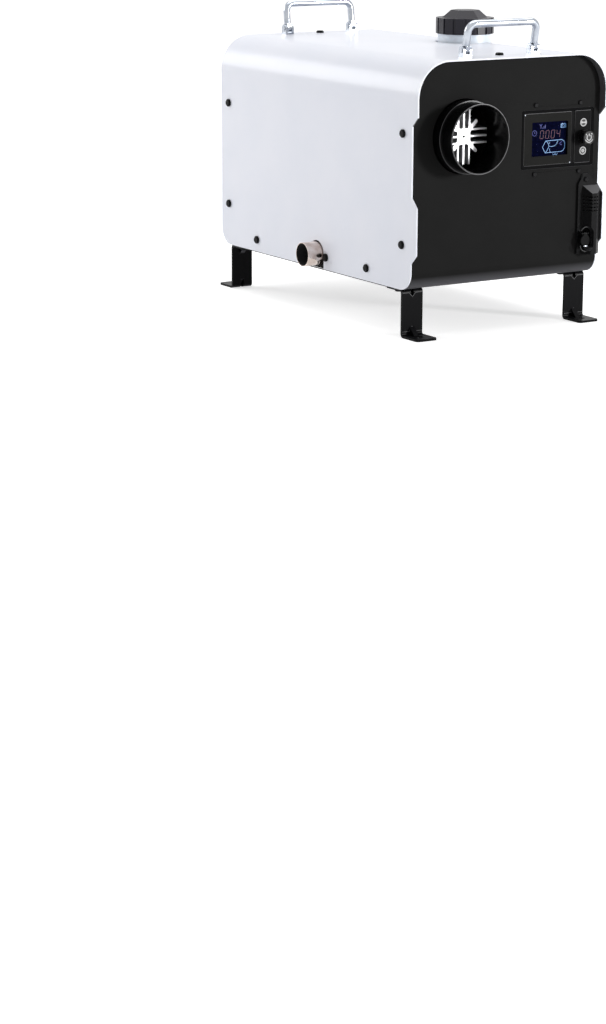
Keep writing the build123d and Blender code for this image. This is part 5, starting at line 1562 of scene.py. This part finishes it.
@dataclass
class SocketHousing:
    """Vented housing with a round socket under a sprung lid.

    Args:
        rim: y of the rear and of the front of the pocket's rim.
        pocket: x of the pocket's middle, and h of the middles of its lower and upper arcs.
        rim_r: radius of the middle of the rim.
        rim_width: width of the rim.
        lid_face: y of the lid's face.
        tab_middle: middle of the finger tab at the lid's lower edge, x and h.
        tab: width, height and corner radius of the tab.
    """

    rim: Pair = (-211.6, -213.0)
    pocket: Triple = (102.0, 35.0, 47.0)
    rim_r: float = 7.65
    rim_width: float = 0.65
    lid_face: float = -213.8
    tab_middle: Pair = (100.9, 33.6)
    tab: Triple = (5.6, 1.2, 0.55)

    def build(self) -> None:
        """Dresses the housing, the socket and its lid, and adds the pocket's rim and the lid's tab."""
        dress(SOCKET_ABS, "socket_housing", edge=0.5)
        dress(SOCKET_GREY, "socket", "socket_lid", edge=0.3)
        dress(BRIGHT_ZINC, "socket_lid_pin")
        self.lay_rim()
        self.lay_tab()

    def rim_arc(self, h: float, angles: Sequence[float]) -> list[Pair]:
        """Points of the rim about a middle at this h, at angles in degrees."""
        return [(self.rim_r * cos(radians(a)), h + self.rim_r * sin(radians(a))) for a in angles]

    def lay_rim(self) -> None:
        """Lays the polished rim on the pocket's edge, in two lengths with a gap at its lower right; its
        tone, paler than the housing, is a painted highlight.
        """
        x, low, high = self.pocket
        rear, front = self.rim
        upper = self.rim_arc(high, range(150, -1, -15)) + self.rim_arc(low, range(0, -31, -15))
        lower = self.rim_arc(low, range(185, 276, 15))
        seat = front_seat(x, rear, 0.0)
        rim = Mesh("pocket_rim", "housing", RIM_ABS)
        for line in (upper, lower):
            rim.strip(stroke(line, self.rim_width), seat)
        rim.laid(seat, rear - front)

    def lay_tab(self) -> None:
        """Lays the bright finger tab on the lid."""
        x, h = self.tab_middle
        width, height, corner = self.tab
        levels = []
        # inset and height of each level of the tab
        for inset, lift in ((0.0, 0.0), (0.05, 0.4), (0.3, 0.6)):
            levels.append((rounded(width - 2 * inset, height - 2 * inset, corner - inset), lift))
        tab = Mesh("lid_tab", "socket_lid", BRIGHT_ZINC)
        tab.capped(levels, front_seat(x, self.lid_face - CLEARANCE, h))
        tab.finished()


# ---------------------------------------------------------------- studio, in metres
@dataclass
class Lamp:
    """A softbox.

    Args:
        name: the lamp's name.
        place: where it hangs.
        target: what it points at.
        size: width and height.
        power: in watts.
    """

    name: str
    place: Triple
    target: Triple
    size: Pair
    power: float

    def hang(self) -> None:
        """Makes the lamp and turns it to its target."""
        data = bpy.data.lights.new(self.name, "AREA")
        data.shape = "RECTANGLE"
        data.size, data.size_y = self.size
        data.energy = self.power
        lamp = bpy.data.objects.new(self.name, data)
        lamp.location = self.place
        way = Vector(self.target) - Vector(self.place)
        lamp.rotation_euler = way.to_track_quat("-Z", "Y").to_euler()
        bpy.context.scene.collection.objects.link(lamp)


@dataclass
class Studio:
    """Pale paper floor, softboxes, soft sky and the camera.

    Args:
        azimuth: degrees that the camera stands round from the front, to the right.
        elevation: degrees that it looks down.
        roll: degrees that its picture is turned.
        camera_place: where it stands.
        lens: its focal length in millimetres, on a sensor 36 mm wide.
        floor_half: half the width of the paper.
        sky: strength of the soft light from all round.
        lamps: the softboxes.
    """

    azimuth: float = -31.602
    elevation: float = 14.807
    roll: float = 0.159
    camera_place: Triple = (-1.65413, -2.46969, 0.53130)
    lens: float = 90.592
    floor_half: float = 30.0
    sky: float = 0.3
    lamps: tuple[Lamp, ...] = (
        Lamp("key_right", (1.45, -2.15, 0.5), (0.0, -0.2, 0.15), (0.35, 0.35), 40),
        Lamp("fill_left", (-1.5, 1.85, 1.0), (0.0, 0.05, 0.12), (1.6, 1.2), 23.5),
        Lamp("top", (0.4, 0.3, 2.3), (0.0, 0.0, 0.2), (2.4, 2.4), 33.5),
    )

    def build(self) -> None:
        """Sets up the whole studio."""
        self.lay_floor()
        self.light_sky()
        for lamp in self.lamps:
            lamp.hang()
        self.place_camera()
        bpy.context.scene.view_settings.view_transform = "Standard"

    def lay_floor(self) -> None:
        """Lays the paper on the floor."""
        form = bmesh.new()
        bmesh.ops.create_grid(form, x_segments=4, y_segments=4, size=self.floor_half)
        data = bpy.data.meshes.new("floor")
        form.to_mesh(data)
        form.free()
        data.materials.append(PALE_PAPER.material())
        floor = bpy.data.objects.new("floor", data)
        bpy.context.scene.collection.objects.link(floor)

    def light_sky(self) -> None:
        """Adds soft light from all round, which the camera and reflections see as white."""
        world = bpy.data.worlds.new("studio")
        bpy.context.scene.world = world
        world.use_nodes = True
        graph = Graph(world.node_tree)
        strength = graph.add("MapRange", {"Value": graph.seen_share(), "To Min": self.sky, "To Max": 1.0})
        sky = {"Color": linear("#FFFFFF"), "Strength": strength.outputs["Result"]}
        graph.feed(world.node_tree.nodes["Background"], sky)

    def place_camera(self) -> None:
        """Stands the camera where the photograph was taken from."""
        a, e, r = (radians(v) for v in (self.azimuth, self.elevation, self.roll))
        back = Vector((sin(a) * cos(e), -cos(a) * cos(e), sin(e)))
        right = Vector((cos(a), sin(a), 0))
        up = back.cross(right)
        right, up = right * cos(r) + up * sin(r), up * cos(r) - right * sin(r)
        data = bpy.data.cameras.new("camera")
        data.lens = self.lens
        data.clip_end = 100
        camera = bpy.data.objects.new("camera", data)
        turn = Matrix((right, up, back)).transposed().to_4x4()
        camera.matrix_world = Matrix.Translation(self.camera_place) @ turn
        bpy.context.scene.collection.objects.link(camera)
        bpy.context.scene.camera = camera


def main() -> None:
    """Builds the sub-assemblies in order, then the studio."""
    logging.basicConfig(level=logging.INFO, format="%(name)s %(message)s")
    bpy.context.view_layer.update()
    parts = (Enclosure(), Legs(), Handles(), HeaterCore(), FuelSystem(), Controller(), SocketHousing())
    for part in parts:
        part.build()
        log.info("%s done", type(part).__name__)
    Studio().build()


if __name__ == "__main__":
    main()
